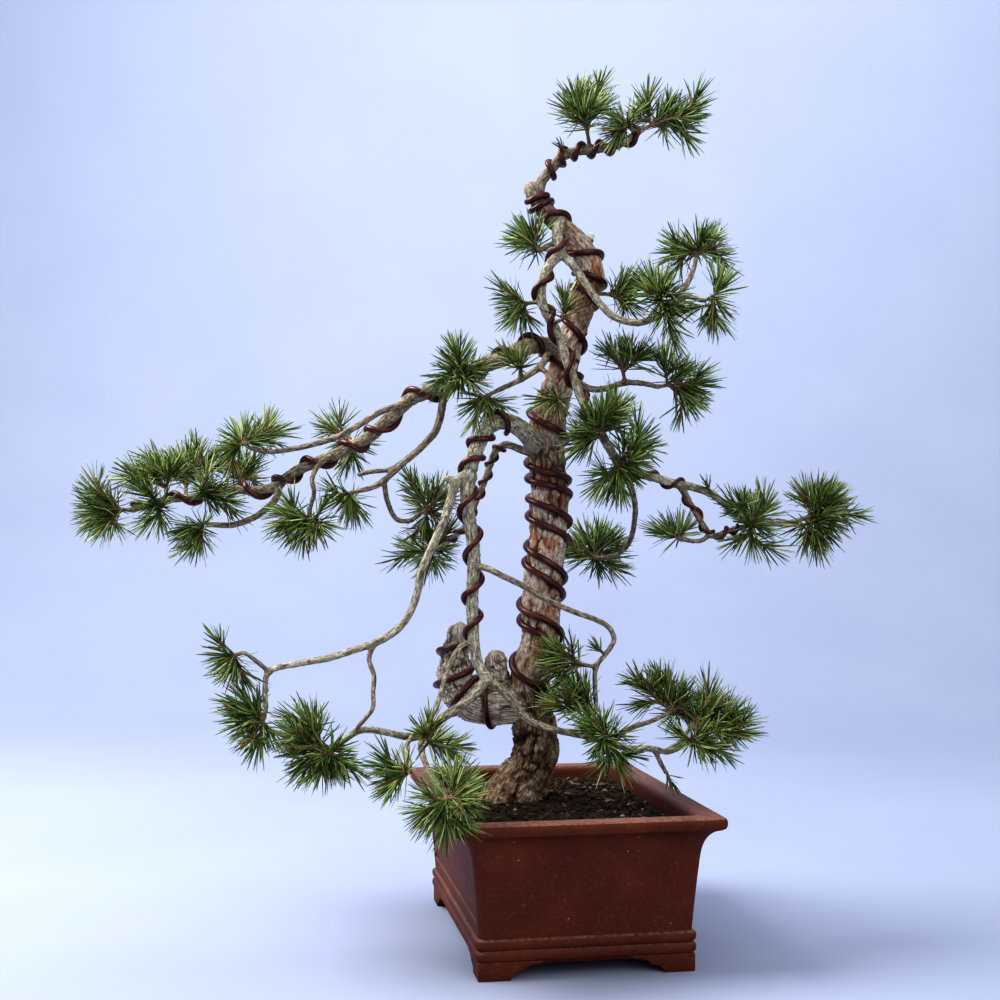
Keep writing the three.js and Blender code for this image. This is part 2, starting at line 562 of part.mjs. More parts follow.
// The point at a place on a route, a point number with its fraction on the way to the next point
function routePlace(name, place) {
  const points = routePoints(name);
  const index = Math.min(Math.floor(place), points.length - 2);
  return points[index].clone().lerp(points[index + 1], place - index);
}

function sprayPlaces(spray) {
  const [foot, end] = spray.tipOf
    ? routePoints(spray.tipOf).slice(-2)
    : [routePlace(...spray.from), sight(spray.end)];
  return { foot, end, tips: spray.tips.map(sight) };
}

function buildWood() {
  const bars = Object.keys(ROUTES).map((name) => toSolid(routeBar(name)));
  const spurs = Object.values(SPRAYS).filter((spray) => !spray.tipOf).map((spray) => {
    const { foot, end } = sprayPlaces(spray);
    return toSolid(bar([foot, end], [SPUR_FOOT_RADIUS, SPUR_END_RADIUS], SPUR_SIDES));
  });
  return join([...bars, ...spurs]);
}

// Clearance: every piece of wood, wire, core and needle is kept as a capsule that tapers, and a
// new needle grows only where it stays clear of them and of the pot.
const capsules = [];

function addCapsules(points, radii, owner) {
  for (let i = 0; i + 1 < points.length; i += 1) {
    capsules.push({ from: points[i], to: points[i + 1], wide: radii[i], thin: radii[i + 1], owner });
  }
}

// Nearest places on two segments, as fractions along each
const PARALLEL_LIMIT = 1e-9;

function nearestFractions(a, b) {
  const alongA = a.to.clone().sub(a.from);
  const alongB = b.to.clone().sub(b.from);
  const between = a.from.clone().sub(b.from);
  const aa = alongA.dot(alongA);
  const bb = alongB.dot(alongB);
  const ab = alongA.dot(alongB);
  const aw = alongA.dot(between);
  const bw = alongB.dot(between);
  const spread = aa * bb - ab * ab;
  let onA = spread > PARALLEL_LIMIT ? THREE.MathUtils.clamp((ab * bw - bb * aw) / spread, 0, 1) : 0;
  const onB = THREE.MathUtils.clamp((ab * onA + bw) / bb, 0, 1);
  onA = THREE.MathUtils.clamp((ab * onB - aw) / aa, 0, 1);
  return [onA, onB];
}

// Wires wind round the wood as helices. A place along the joined stretches is a point number,
// with its fraction on the way to the next point.
const WIRE_STEPS_PER_TURN = 6;
const WIRE_SIDES = 4;

function wireWay(along) {
  return along.flatMap(([name, first, last]) => {
    const points = routePoints(name);
    const radii = routeRadii(name);
    return points.map((point, i) => ({ point, radius: radii[i] })).slice(first, last + 1);
  });
}

function placeOnWay(way, place) {
  const index = Math.min(Math.max(Math.floor(place), 0), way.length - 2);
  const part = place - index;
  const tangentAt = (i) => way[Math.min(i + 1, way.length - 1)].point.clone()
    .sub(way[Math.max(i - 1, 0)].point)
    .normalize();
  const tangent = tangentAt(index).lerp(tangentAt(index + 1), part).normalize();
  const front = new THREE.Vector3(0, -1, 0).addScaledVector(tangent, tangent.y).normalize();
  return {
    centre: way[index].point.clone().lerp(way[index + 1].point, part),
    radius: THREE.MathUtils.lerp(way[index].radius, way[index + 1].radius, part),
    front,
    side: tangent.clone().cross(front),
  };
}

// The place along the way after a number of turns, straight between the passes in front
function placeAfterTurns(passes, turns) {
  const index = Math.min(Math.max(Math.floor(turns), 0), passes.length - 2);
  return passes[index] + (passes[index + 1] - passes[index]) * (turns - index);
}

function helixPoints(wire) {
  const way = wireWay(wire.along);
  const turnCount = wire.passes.length - 1 + wire.lead + wire.tail;
  const steps = Math.round(turnCount * WIRE_STEPS_PER_TURN);
  return Array.from({ length: steps + 1 }, (unused, i) => {
    const turns = -wire.lead + (turnCount * i) / steps;
    const spot = placeOnWay(way, placeAfterTurns(wire.passes, turns));
    const reach = spot.radius + wire.gauge + WIRE_GAP;
    const angle = wire.hand * turns * 2 * Math.PI;
    return spot.centre
      .addScaledVector(spot.front, reach * Math.cos(angle))
      .addScaledVector(spot.side, reach * Math.sin(angle));
  });
}

// A wire is bent clear: wherever one of its straight steps comes too near to the wood, the ends of
// that step are pushed away from the wood, until every step is clear.
const CLEARING_ROUNDS = 60;
const NEARBY = 20;

function wirePoints(wire) {
  const points = helixPoints(wire);
  const nearby = capsules.filter((capsule) => points.some((point) => (
    point.distanceTo(capsule.from) < capsule.from.distanceTo(capsule.to) + capsule.wide + NEARBY
  )));
  for (let round = 0; round < CLEARING_ROUNDS; round += 1) {
    for (let i = 0; i + 1 < points.length; i += 1) {
      for (const capsule of nearby) {
        const [onWire, onWood] = nearestFractions({ from: points[i], to: points[i + 1] }, capsule);
        const away = points[i].clone().lerp(points[i + 1], onWire)
          .sub(capsule.from.clone().lerp(capsule.to, onWood));
        const woodRadius = THREE.MathUtils.lerp(capsule.wide, capsule.thin, onWood);
        const lack = wire.gauge + woodRadius + GAP - away.length();
        if (lack > 0) {
          away.setLength(lack / (onWire ** 2 + (1 - onWire) ** 2));
          points[i].addScaledVector(away, 1 - onWire);
          points[i + 1].addScaledVector(away, onWire);
        }
      }
    }
  }
  return points;
}

function wireBar(wire, points) {
  return bar(points, points.map(() => wire.gauge), WIRE_SIDES);
}

function isClear(capsule, owner) {
  return capsules.every((other) => {
    if (other.owner === owner) {
      return true;
    }
    const reach = capsule.from.distanceTo(capsule.to) + other.from.distanceTo(other.to)
      + capsule.wide + other.wide + other.thin;
    if (capsule.from.distanceTo(other.from) > reach) {
      return true;
    }
    const [onCapsule, onOther] = nearestFractions(capsule, other);
    const distance = capsule.from.clone().lerp(capsule.to, onCapsule)
      .distanceTo(other.from.clone().lerp(other.to, onOther));
    return distance > THREE.MathUtils.lerp(capsule.wide, capsule.thin, onCapsule)
      + THREE.MathUtils.lerp(other.wide, other.thin, onOther) + GAP;
  });
}

// Clear of the pot means above its rim or outside its outline
function isClearOfPot(point) {
  const spot = point.clone().applyMatrix4(TO_POT);
  return spot.z > POT_HEIGHT + 1
    || Math.abs(spot.x) > POT_WIDTH / 2 + 1
    || Math.abs(spot.y) > POT_LENGTH / 2 + 1;
}

// One ring of a shoot's core round a centre. Each ring is turned against the one below it, in a
// frame that was carried from the shoot's axis onto the ring's own direction.
function coreRing(centre, axis, direction, radius, ring, startTurn) {
  const swing = new THREE.Quaternion().setFromUnitVectors(axis, direction);
  const across = squareTo(axis);
  const up = axis.clone().cross(across).applyQuaternion(swing);
  across.applyQuaternion(swing);
  return Array.from({ length: CORE_SIDES }, (unused, side) => {
    const angle = startTurn + (side + ring / 2) * (2 * Math.PI / CORE_SIDES) + ring * RING_TWIST;
    return centre.clone()
      .addScaledVector(across, radius * Math.cos(angle))
      .addScaledVector(up, radius * Math.sin(angle));
  });
}

// One shoot. It starts with plain rings at its foot, then has a band of short steps up to its bud.
// Most triangles in that band are drawn out into needles, which lean outwards at the foot of the
// band and forwards at the bud.
function shootGeometry(feet, bud, random, owner) {
  const fork = feet[feet.length - 1].centre;
  const length = fork.distanceTo(bud);
  const axis = bud.clone().sub(fork).normalize();
  const step = Math.min(CORE_STEP, length / (NEEDLE_BANDS + 1));
  const band = Array.from({ length: NEEDLE_BANDS + 1 }, (unused, ring) => ({
    centre: fork.clone().addScaledVector(axis, length - (NEEDLE_BANDS - ring) * step),
    direction: axis,
    radius: CORE_RADIUS,
  }));
  const rings = [...feet, ...band];
  const startTurn = random() * Math.PI;
  const points = rings.flatMap(({ centre, direction, radius }, ring) => (
    coreRing(centre, axis, direction ?? axis, radius, ring, startTurn)
  ));
  const triangles = [];
  const grown = [];

  const clearNeedle = (root) => {
    const height = root.clone().sub(fork).dot(axis);
    const outward = root.clone().sub(fork).addScaledVector(axis, -height).normalize();
    const belowBud = (length - height) / (NEEDLE_BANDS * step);
    const lean = THREE.MathUtils.lerp(NEEDLE_LEAN_TIP, NEEDLE_LEAN_LOW, belowBud);
    const way = axis.clone().multiplyScalar(Math.cos(lean)).addScaledVector(outward, Math.sin(lean));
    const full = NEEDLE_LENGTH * (NEEDLE_SHORTEST + NEEDLE_SPREAD * random());
    return NEEDLE_SHARES
      .map((share) => ({
        from: root.clone().add(way),
        to: root.clone().addScaledVector(way, full * share),
        wide: NEEDLE_ROOT,
        thin: NEEDLE_POINT,
        owner,
      }))
      .find((needle) => isClearOfPot(needle.to) && isClear(needle, owner));
  };

  const addFace = (corners) => {
    const root = corners
      .reduce((sum, corner) => sum.add(points[corner]), new THREE.Vector3())
      .divideScalar(corners.length);
    const needle = clearNeedle(root);
    if (!needle) {
      triangles.push(...corners);
      return;
    }
    const [a, b, c] = corners;
    const top = points.push(needle.to) - 1;
    triangles.push(a, b, top, b, c, top, c, a, top);
    grown.push(needle);
  };

  for (let ring = 0; ring + 1 < rings.length; ring += 1) {
    for (let side = 0; side < CORE_SIDES; side += 1) {
      const low = ring * CORE_SIDES + side;
      const lowNext = ring * CORE_SIDES + (side + 1) % CORE_SIDES;
      const faces = [[low, lowNext, low + CORE_SIDES], [lowNext, lowNext + CORE_SIDES, low + CORE_SIDES]];
      faces.forEach((corners, i) => {
        if (ring < feet.length || (2 * low + i) % FACES_PER_BARE_FACE === 0) {
          triangles.push(...corners);
        } else {
          addFace(corners);
        }
      });
    }
  }
  const last = (rings.length - 1) * CORE_SIDES;
  const budPoint = points.push(bud.clone().addScaledVector(axis, BUD_LENGTH)) - 1;
  for (let side = 0; side < CORE_SIDES; side += 1) {
    triangles.push(last + side, last + (side + 1) % CORE_SIDES, budPoint);
  }
  triangles.push(0, 2, 1);
  capsules.push(...grown);
  const geometry = new THREE.BufferGeometry();
  geometry.setAttribute("position", new THREE.Float32BufferAttribute(points.flatMap((p) => p.toArray()), 3));
  geometry.setIndex(triangles);
  return geometry;
}

// A spray's stem starts just off the wood and ends at a fork. The shoot that lies best in line
// carries the stem on, and the others leave the stem one below the other.
function sprayStem(spray) {
  const { foot, end, tips } = sprayPlaces(spray);
  const way = end.clone().sub(foot).normalize();
  const fork = end.clone().addScaledVector(way, STEM_LENGTH);
  const inLine = (tip) => tip.clone().sub(fork).normalize().dot(way);
  return {
    way,
    fork,
    start: end.clone().addScaledVector(way, GAP),
    tips: tips.toSorted((a, b) => inLine(b) - inLine(a)),
  };
}

function shootOwner(name, i) {
  return `${name} ${i}`;
}

function shootFeet({ way, fork, start }, tip, i) {
  if (i === 0) {
    const bend = tip.clone().sub(fork).normalize().add(way).normalize();
    return [
      { centre: start, direction: way, radius: SPUR_END_RADIUS },
      { centre: fork, direction: bend, radius: FORK_RADIUS },
    ];
  }
  return [{ centre: fork.clone().addScaledVector(way, (1 - i) * SIDE_CORE_STEP), radius: SIDE_CORE_RADIUS }];
}

function buildSpray(name, spray, seed) {
  const random = seeded(seed);
  const stem = sprayStem(spray);
  return join(stem.tips.map((tip, i) => (
    toSolid(shootGeometry(shootFeet(stem, tip, i), tip, random, shootOwner(name, i)))
  )));
}


// Colours and finishes
const FINISHES = {
  clay: { color: 0x6b3a2b, roughness: 0.75, metalness: 0 },
  soil: { color: 0x2e241c, roughness: 0.95, metalness: 0 },
  bark: { color: 0x7d7261, roughness: 0.9, metalness: 0 },
  wire: { color: 0x5a2e29, roughness: 0.4, metalness: 0.6 },
  needle: { color: 0x3f5a2a, roughness: 0.55, metalness: 0 },
};

function namedMesh(name, geometry, finish) {
  const mesh = new THREE.Mesh(geometry, new THREE.MeshStandardMaterial(FINISHES[finish]));
  mesh.name = name;
  return mesh;
}

// Everything that a wire or a needle has to keep clear of, before any needle grows
for (const name of Object.keys(ROUTES)) {
  addCapsules(routePoints(name), routeRadii(name), "wood");
}
for (const spray of Object.values(SPRAYS)) {
  const { foot, end } = sprayPlaces(spray);
  addCapsules([foot, end, sprayStem(spray).fork], [SPUR_FOOT_RADIUS, SPUR_END_RADIUS, CORE_RADIUS], "wood");
}
const wireWays = Object.fromEntries(Object.entries(WIRES).map(([name, wire]) => [name, wirePoints(wire)]));
for (const [name, points] of Object.entries(wireWays)) {
  addCapsules(points, points.map(() => WIRES[name].gauge), name);
}
for (const [name, spray] of Object.entries(SPRAYS)) {
  const { fork, tips } = sprayStem(spray);
  tips.forEach((tip, i) => addCapsules([fork, tip], [CORE_RADIUS, CORE_RADIUS], shootOwner(name, i)));
}

// The tree stands in a group turned to its front; the pot and the soil keep the pot's axes
const FIRST_SEED = 11;
const tree = new THREE.Group();
tree.rotation.z = -FRONT_TURN;
tree.add(namedMesh("wood", toGeometry(buildWood()), "bark"));
for (const [name, points] of Object.entries(wireWays)) {
  tree.add(namedMesh(name, toGeometry(toSolid(wireBar(WIRES[name], points))), "wire"));
}
Object.entries(SPRAYS).forEach(([name, spray], i) => {
  tree.add(namedMesh(`needles_${name}`, toGeometry(buildSpray(name, spray, FIRST_SEED + i)), "needle"));
});

const trunkHole = toSolid(routeBar("trunk", GAP).applyMatrix4(TO_POT));
const plant = new THREE.Group();
plant.add(namedMesh("pot", toGeometry(buildPot()), "clay"));
plant.add(namedMesh("soil", toGeometry(buildSoil(trunkHole)), "soil"));
plant.add(tree);

// The origin is under the middle of the whole plant, on the ground
const whole = new THREE.Group();
whole.add(plant);
const box = new THREE.Box3().setFromObject(whole, true);
const middle = box.getCenter(new THREE.Vector3());
plant.position.set(-middle.x, -middle.y, -box.min.z);
whole.updateMatrixWorld(true);

export default whole;
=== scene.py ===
import collections
import contextlib
import itertools
import math
import random

import bmesh
import bpy
import numpy as np
from mathutils import Matrix, Vector, noise


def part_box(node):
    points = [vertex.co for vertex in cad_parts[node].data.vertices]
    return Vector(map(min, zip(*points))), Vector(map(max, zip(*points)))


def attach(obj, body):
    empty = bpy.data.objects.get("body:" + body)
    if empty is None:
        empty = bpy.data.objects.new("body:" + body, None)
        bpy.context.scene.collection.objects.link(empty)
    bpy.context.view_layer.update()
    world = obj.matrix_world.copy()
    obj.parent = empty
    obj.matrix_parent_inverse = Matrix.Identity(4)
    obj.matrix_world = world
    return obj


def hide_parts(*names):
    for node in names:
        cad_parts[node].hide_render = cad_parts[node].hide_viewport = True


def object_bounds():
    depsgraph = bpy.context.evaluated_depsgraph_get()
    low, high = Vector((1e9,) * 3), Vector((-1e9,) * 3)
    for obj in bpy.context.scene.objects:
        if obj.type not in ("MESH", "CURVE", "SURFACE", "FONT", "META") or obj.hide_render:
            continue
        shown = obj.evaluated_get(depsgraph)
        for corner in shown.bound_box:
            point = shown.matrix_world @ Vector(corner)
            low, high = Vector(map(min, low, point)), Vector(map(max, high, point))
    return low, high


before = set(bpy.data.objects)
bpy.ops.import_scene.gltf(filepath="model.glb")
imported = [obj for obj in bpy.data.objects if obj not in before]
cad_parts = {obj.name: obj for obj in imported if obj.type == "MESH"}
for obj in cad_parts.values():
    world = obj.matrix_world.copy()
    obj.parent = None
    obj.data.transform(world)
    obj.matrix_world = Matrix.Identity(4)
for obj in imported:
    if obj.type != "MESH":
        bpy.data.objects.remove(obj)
cad_low, cad_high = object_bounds()
BOX_LOW, BOX_HIGH = np.array(cad_low), np.array(cad_high)

# The noise that bends the bark starts from one seed, so each run gives the same shapes
NOISE_SEED = 23
noise.seed_set(NOISE_SEED)

MM = 0.001
UP = np.array([0.0, 0.0, 1.0])

# Pot sizes over the rim, and the turn of the tree's front from the pot's short side
POT_WIDTH = 220
POT_LENGTH = 312
POT_HEIGHT = 125
FLOOR_TOP = 27
BASE_HEIGHT = 14.5
CORNER_RADIUS = 7
FRONT_TURN = 0.1751
# The eye that looks at the tree's front, seen from the middle of the pot's base
EYE = np.array([-46.3, -1271.0, 338.8])

# Where the photograph shows the middle of the pot's base, in its pixels, and the size of a pixel on
# the upright plane through the trunk
BASE_PIXEL = (552.6, 932.6)
PIXEL = 0.88

# Wood routes, from root to tip. Each point is (u, v, depth, radius): its pixel in the photograph,
# how far it is behind the trunk's plane, and how thick the wood is.
ROUTES = {
    "trunk": [
        (500, 822, 14, 26), (508, 806, 12, 26), (517, 790, 9, 24), (530, 768, 6, 20),
        (536, 745, 4, 19), (533, 708, 1, 17.5), (531, 675, 0, 16.5), (540, 640, 0, 16),
        (541, 600, 0, 16.5), (547, 550, 0, 16), (549, 500, 0, 16), (547, 460, 0, 15.5),
        (548, 420, 1, 15), (560, 380, 3, 13.5), (568, 350, 4, 11.5), (582, 305, 5, 10.5),
        (590, 277, 5, 12), (585, 255, 4, 11), (572, 238, 3, 9.5), (556, 222, 1, 8.5),
        (540, 205, 0, 7.5), (532, 190, 0, 7),
    ],
    "apex": [
        (538, 200, 0, 5.5), (541, 183, -4, 4.6), (551, 170, -6, 4.4), (562, 157, -9, 4.2),
        (575, 152, -12, 4), (590, 150, -14, 4), (605, 148, -15, 3.8), (618, 145, -15, 3.6),
        (631, 138, -14, 3.2), (641, 130, -12, 2.8), (648, 127, -12, 1.6),
    ],
    "grey": [
        (560, 222, -4, 5), (557, 235, -16, 4.6), (560, 252, -23, 4.4), (549, 266, -27, 4.3),
        (542, 284, -29, 4.2), (542, 302, -30, 4.1), (550, 320, -31, 4), (561, 340, -33, 4),
        (567, 362, -36, 3.9), (575, 382, -39, 3.9), (582, 400, -41, 3.8), (592, 418, -43, 3.8),
        (608, 446, -44, 3.8), (624, 469, -44, 3.8), (652, 477, -42, 3.7), (670, 483, -40, 3.6),
        (691, 487, -36, 3.4), (711, 494, -32, 3.2), (723, 503, -28, 3), (735, 514, -24, 2.9),
        (752, 522, -19, 2.8), (772, 524, -14, 2.6), (789, 523, -9, 2.4), (803, 519, -6, 2.2),
        (808, 517, -5, 1.6),
    ],
    "grey_right": [
        (561, 254, -23, 3.6), (573, 266, -28, 3.4), (586, 284, -31, 3.2), (600, 304, -35, 3.1),
        (614, 317, -39, 3), (638, 323, -46, 3), (660, 315, -50, 2.9), (673, 302, -51, 2.7),
        (687, 284, -49, 2.4), (695, 265, -46, 2), (696, 258, -46, 1.6),
    ],
    "grey_fork": [
        (675, 300, -51, 2.2), (689, 297, -55, 2), (703, 301, -60, 1.8), (708, 299, -62, 1.6),
    ],
    "big_left": [
        (560, 350, 3, 8), (536, 345, -10, 7.5), (518, 351, -16, 7.2), (505, 358, -18, 7),
        (480, 367, -19, 6.6), (467, 374, -20, 6.4), (447, 388, -20, 6.2), (429, 392, -18, 6),
        (410, 400, -16, 5.8), (386, 422, -12, 5.5), (368, 438, -9, 5.3), (347, 449, -6, 5.1),
        (326, 459, -3, 4.9), (303, 468, 0, 4.6), (285, 479, 3, 4.4), (272, 488, 5, 4.2),
        (250, 491, 7, 3.9), (225, 489, 9, 3.6), (195, 497, 11, 3.3), (163, 501, 12, 3),
        (133, 510, 12, 2.6), (126, 510, 12, 1.6),
    ],
    "left_top": [
        (406, 404, -20, 2.8), (381, 412, -26, 2.6), (358, 426, -27, 2.6), (335, 438, -24, 2.5),
        (312, 445, -20, 2.4), (294, 449, -16, 2.3), (271, 452, -12, 2.1), (252, 449, -10, 1.9),
        (247, 446, -10, 1.6),
    ],
    "left_drop": [
        (333, 455, -6, 2.4), (319, 465, -18, 2.2), (312, 479, -25, 2.1), (314, 493, -29, 2),
        (310, 508, -31, 1.9), (310, 513, -32, 1.6),
    ],
    "left_low": [
        (280, 484, 4, 3.2), (275, 500, -5, 3), (257, 516, -12, 2.8), (234, 525, -16, 2.6),
        (212, 525, -20, 2.2), (206, 524, -22, 1.6),
    ],
    "left_hang": [
        (445, 390, -19, 3.6), (437, 428, -23, 3.2), (422, 447, -26, 3), (401, 465, -29, 2.8),
        (385, 480, -30, 2.6), (374, 487, -32, 2.4), (360, 491, -35, 2), (355, 492, -36, 1.6),
    ],
    "left_hang_twig": [
        (402, 464, -29, 2.2), (389, 470, -27, 2), (371, 472, -25, 1.9), (359, 475, -24, 1.8),
    ],
    "left_hang_down": [
        (384, 481, -30, 2.3), (387, 500, -24, 2.2), (396, 519, -14, 2.1), (410, 521, -2, 2),
        (420, 514, 8, 1.9), (425, 511, 13, 1.6),
    ],
    "middle_twig": [
        (549, 349, -4, 3.4), (541, 366, -34, 2.9), (522, 379, -43, 2.5), (497, 391, -46, 2),
        (491, 394, -47, 1.6),
    ],
    "middle_front": [
        (540, 367, -35, 2.2), (552, 380, -46, 2), (556, 391, -54, 1.8), (557, 395, -60, 1.6),
    ],
    "upper_right": [
        (564, 368, 2, 3.6), (578, 382, 0, 3), (590, 389, -2, 2.8), (605, 389, -5, 2.7),
        (625, 383, -9, 2.6), (645, 384, -13, 2.3), (658, 387, -16, 2), (664, 386, -18, 1.6),
    ],
    "cascade": [
        (546, 452, 0, 9), (533, 441, -12, 8.4), (519, 428, -21, 7.6), (502, 421, -29, 7.2),
        (489, 427, -34, 6.8), (479, 443, -37, 6.5), (472, 462, -39, 6.2), (468, 482, -41, 6),
        (467, 502, -42, 5.8), (470, 523, -43, 5.6), (473, 543, -44, 5.5), (474, 564, -45, 5.4),
        (473, 584, -46, 5.3), (472, 604, -47, 5.2), (473, 625, -49, 5), (474, 645, -52, 4.8),
        (478, 664, -56, 4.6), (488, 681, -61, 4.5),
    ],
    "cascade_left": [
        (486, 680, -60, 4.2), (476, 693, -65, 4), (461, 706, -70, 3.8), (446, 716, -76, 3.6),
        (433, 726, -84, 3.4), (421, 734, -92, 3.2), (408, 737, -98, 3), (388, 733, -104, 2.8),
        (369, 730, -108, 2.7), (357, 732, -110, 2.5), (343, 741, -112, 2.3), (333, 746, -112, 2),
        (328, 748, -112, 1.6),
    ],
    "cascade_right": [
        (488, 681, -61, 3.8), (501, 690, -60, 3.6), (514, 704, -59, 3.4), (524, 716, -58, 3.2),
        (536, 724, -58, 3), (559, 731, -60, 2.8), (588, 737, -63, 2.8), (612, 744, -65, 2.8),
        (630, 749, -66, 2.7), (652, 749, -66, 2.6), (668, 752, -64, 2.4), (684, 745, -62, 2),
        (689, 743, -62, 1.6),
    ],
    "right_inner": [
        (612, 744, -65, 2.4), (620, 735, -55, 2.3), (634, 727, -44, 2.2), (650, 722, -36, 2),
        (664, 716, -30, 1.8), (669, 713, -26, 1.6),
    ],
    "right_hang": [
        (655, 751, -66, 2), (660, 762, -68, 1.9), (666, 773, -69, 1.7),
    ],
    "cascade_thin": [
        (474, 642, -52, 2.4), (463, 645, -60, 2.2), (452, 659, -66, 2.1), (445, 678, -70, 2),
        (440, 696, -75, 2), (435, 712, -84, 1.9), (424, 724, -100, 1.8), (414, 734, -112, 1.8),
        (406, 748, -122, 1.8), (410, 763, -134, 1.7), (410, 768, -138, 1.6),
    ],
    "pad_stem": [
        (424, 732, -91, 2.8), (421, 745, -108, 2.5), (424, 760, -128, 2.4), (432, 776, -150, 2.2),
        (442, 790, -172, 2), (445, 796, -180, 1.6),
    ],
    "long_left": [
        (472, 478, -41, 4.2), (462, 477, -43, 4), (455, 486, -46, 3.8), (450, 502, -48, 3.7),
        (445, 519, -51, 3.6), (437, 537, -54, 3.5), (429, 553, -57, 3.4), (421, 574, -61, 3.3),
        (417, 594, -64, 3.2), (410, 613, -68, 3.1), (398, 629, -72, 3.1), (380, 641, -76, 3),
        (355, 650, -80, 2.9), (326, 659, -84, 2.8), (298, 664, -86, 2.6), (269, 672, -88, 2.4),
        (265, 690, -91, 2.2), (266, 707, -94, 2), (265, 713, -95, 1.6),
    ],
    "long_left_tip": [
        (269, 672, -88, 2), (257, 662, -90, 1.8), (244, 653, -93, 1.6), (240, 654, -94, 1.6),
    ],
    "long_twig": [
        (374, 644, -77, 2.1), (369, 659, -82, 2), (374, 676, -88, 1.9), (373, 693, -95, 1.9),
        (373, 708, -104, 1.8), (366, 718, -112, 1.8), (359, 726, -115, 1.7), (356, 731, -111, 1.6),
    ],
    "front_twig": [
        (473, 566, -45, 3), (488, 569, -56, 2.6), (502, 576, -58, 2.5), (523, 586, -58, 2.5),
        (543, 598, -57, 2.4), (560, 606, -55, 2.3), (576, 613, -53, 2.3), (596, 620, -51, 2.2),
        (609, 628, -50, 2.2), (614, 640, -50, 2.1), (606, 654, -51, 2), (596, 667, -52, 2),
        (595, 688, -52, 1.9), (596, 704, -52, 1.8), (596, 709, -52, 1.6),
    ],
    "wired_twig": [
        (540, 455, -2, 4), (524, 451, -8, 3.4), (506, 445, -8, 3.1), (496, 451, -6, 3),
        (490, 466, -2, 2.9), (484, 483, 2, 2.7), (477, 500, 6, 2.6), (466, 525, 10, 2.4),
        (453, 538, 13, 2.2), (440, 548, 16, 2), (434, 551, 19, 1.6),
    ],
    "hang_right": [
        (622, 467, -44, 2.8), (630, 484, -38, 2.5), (635, 505, -26, 2.4), (634, 525, -12, 2.3),
        (629, 543, 2, 2.2), (617, 555, 14, 2.1), (603, 558, 24, 2), (598, 558, 28, 1.6),
    ],
    "right_low": [
        (681, 486, -38, 3.4), (689, 502, -45, 2.6), (697, 515, -49, 2.5), (705, 528, -52, 2.4),
        (713, 536, -53, 2.3), (729, 531, -50, 2.1), (742, 528, -47, 2), (747, 526, -46, 1.6),
    ],
    "right_low_left": [
        (710, 535, -52, 2), (701, 541, -55, 1.9), (689, 541, -58, 1.7), (683, 540, -60, 1.6),
    ],
    "deadwood": [
        (533, 704, 2, 17), (500, 705, 2, 17), (474, 701, 2, 18), (458, 688, 2, 16.5),
        (454, 664, 2, 13.5), (456, 645, 2, 10.5), (457, 634, 2, 9),
    ],
    "deadwood_stub": [
        (499, 704, 2, 12), (498, 682, 2, 10.5), (495, 661, 2, 9),
    ],
    "dark_stub": [
        (583, 256, 4, 3.5), (588, 245, 4, 3.4), (591, 236, 4, 3.3),
    ],
    "left_stub": [
        (458, 484, -45, 3), (447, 479, -46, 2.8),
    ],
}

# Training wires. Each follows stretches of routes, (route, first point, last point), passes in
# front of the wood at the given places along them, and turns the way that hand says.
WIRES = {
    "wire_trunk_first": {"along": [("trunk", 4, 13)], "gauge": 3, "hand": -1,
        "passes": [1.82, 3.57, 4.78, 5.83, 6.65, 7.8], "lead": 0.4, "tail": 0.4},
    "wire_trunk_second": {"along": [("trunk", 4, 13)], "gauge": 3, "hand": -1,
        "passes": [3.17, 4.46, 5.44, 6.34], "lead": 0.4, "tail": 0.5},
    "wire_crown": {"along": [("trunk", 13, 21)], "gauge": 2.7, "hand": -1,
        "passes": [0.35, 1.4, 2.35, 2.95, 4, 6.4, 6.9, 7.35], "lead": 0.4, "tail": 0.2},
    "wire_apex": {"along": [("apex", 1, 9)], "gauge": 2.4, "hand": -1,
        "passes": [1, 2, 3.2, 4.4, 5.7, 7.3], "lead": 0.3, "tail": 0.4},
    "wire_grey_branch": {"along": [("grey", 1, 12)], "gauge": 2.5, "hand": 1,
        "passes": [0.9, 3.05, 5.1, 7.3, 9.3], "lead": 0.3, "tail": 0.4},
    "wire_cascade": {"along": [("cascade", 1, 17)], "gauge": 2.5, "hand": 1,
        "passes": [2, 3.9, 4.9, 7, 9.1, 11.3, 13], "lead": 0.4, "tail": 0.4},
    "wire_big_left": {"along": [("big_left", 0, 20)], "gauge": 2.6, "hand": 1,
        "passes": [1, 2.6, 4.7, 7.3, 9.5, 10.7, 12.4, 14, 16, 17.1, 18.35, 19.6],
        "lead": 0.15, "tail": 0.3},
    "wire_small_branch": {"along": [("wired_twig", 2, 9)], "gauge": 1.5, "hand": 1,
        "passes": [0.6, 1.7, 2.8, 3.9, 4.7, 5.5, 6.2], "lead": 0.3, "tail": 0.3},
    "wire_right_branch": {"along": [("grey", 13, 15), ("right_low", 0, 6)], "gauge": 1.6, "hand": -1,
        "passes": [0.75, 2.25, 4.5, 6.5, 7.7, 8.5], "lead": 0.2, "tail": 0.2},
    "wire_deadwood": {"along": [("deadwood", 0, 6)], "gauge": 2.7, "hand": 1,
        "passes": [1.55, 2.75, 3.5, 4.9], "lead": 0.3, "tail": 0.5},
}

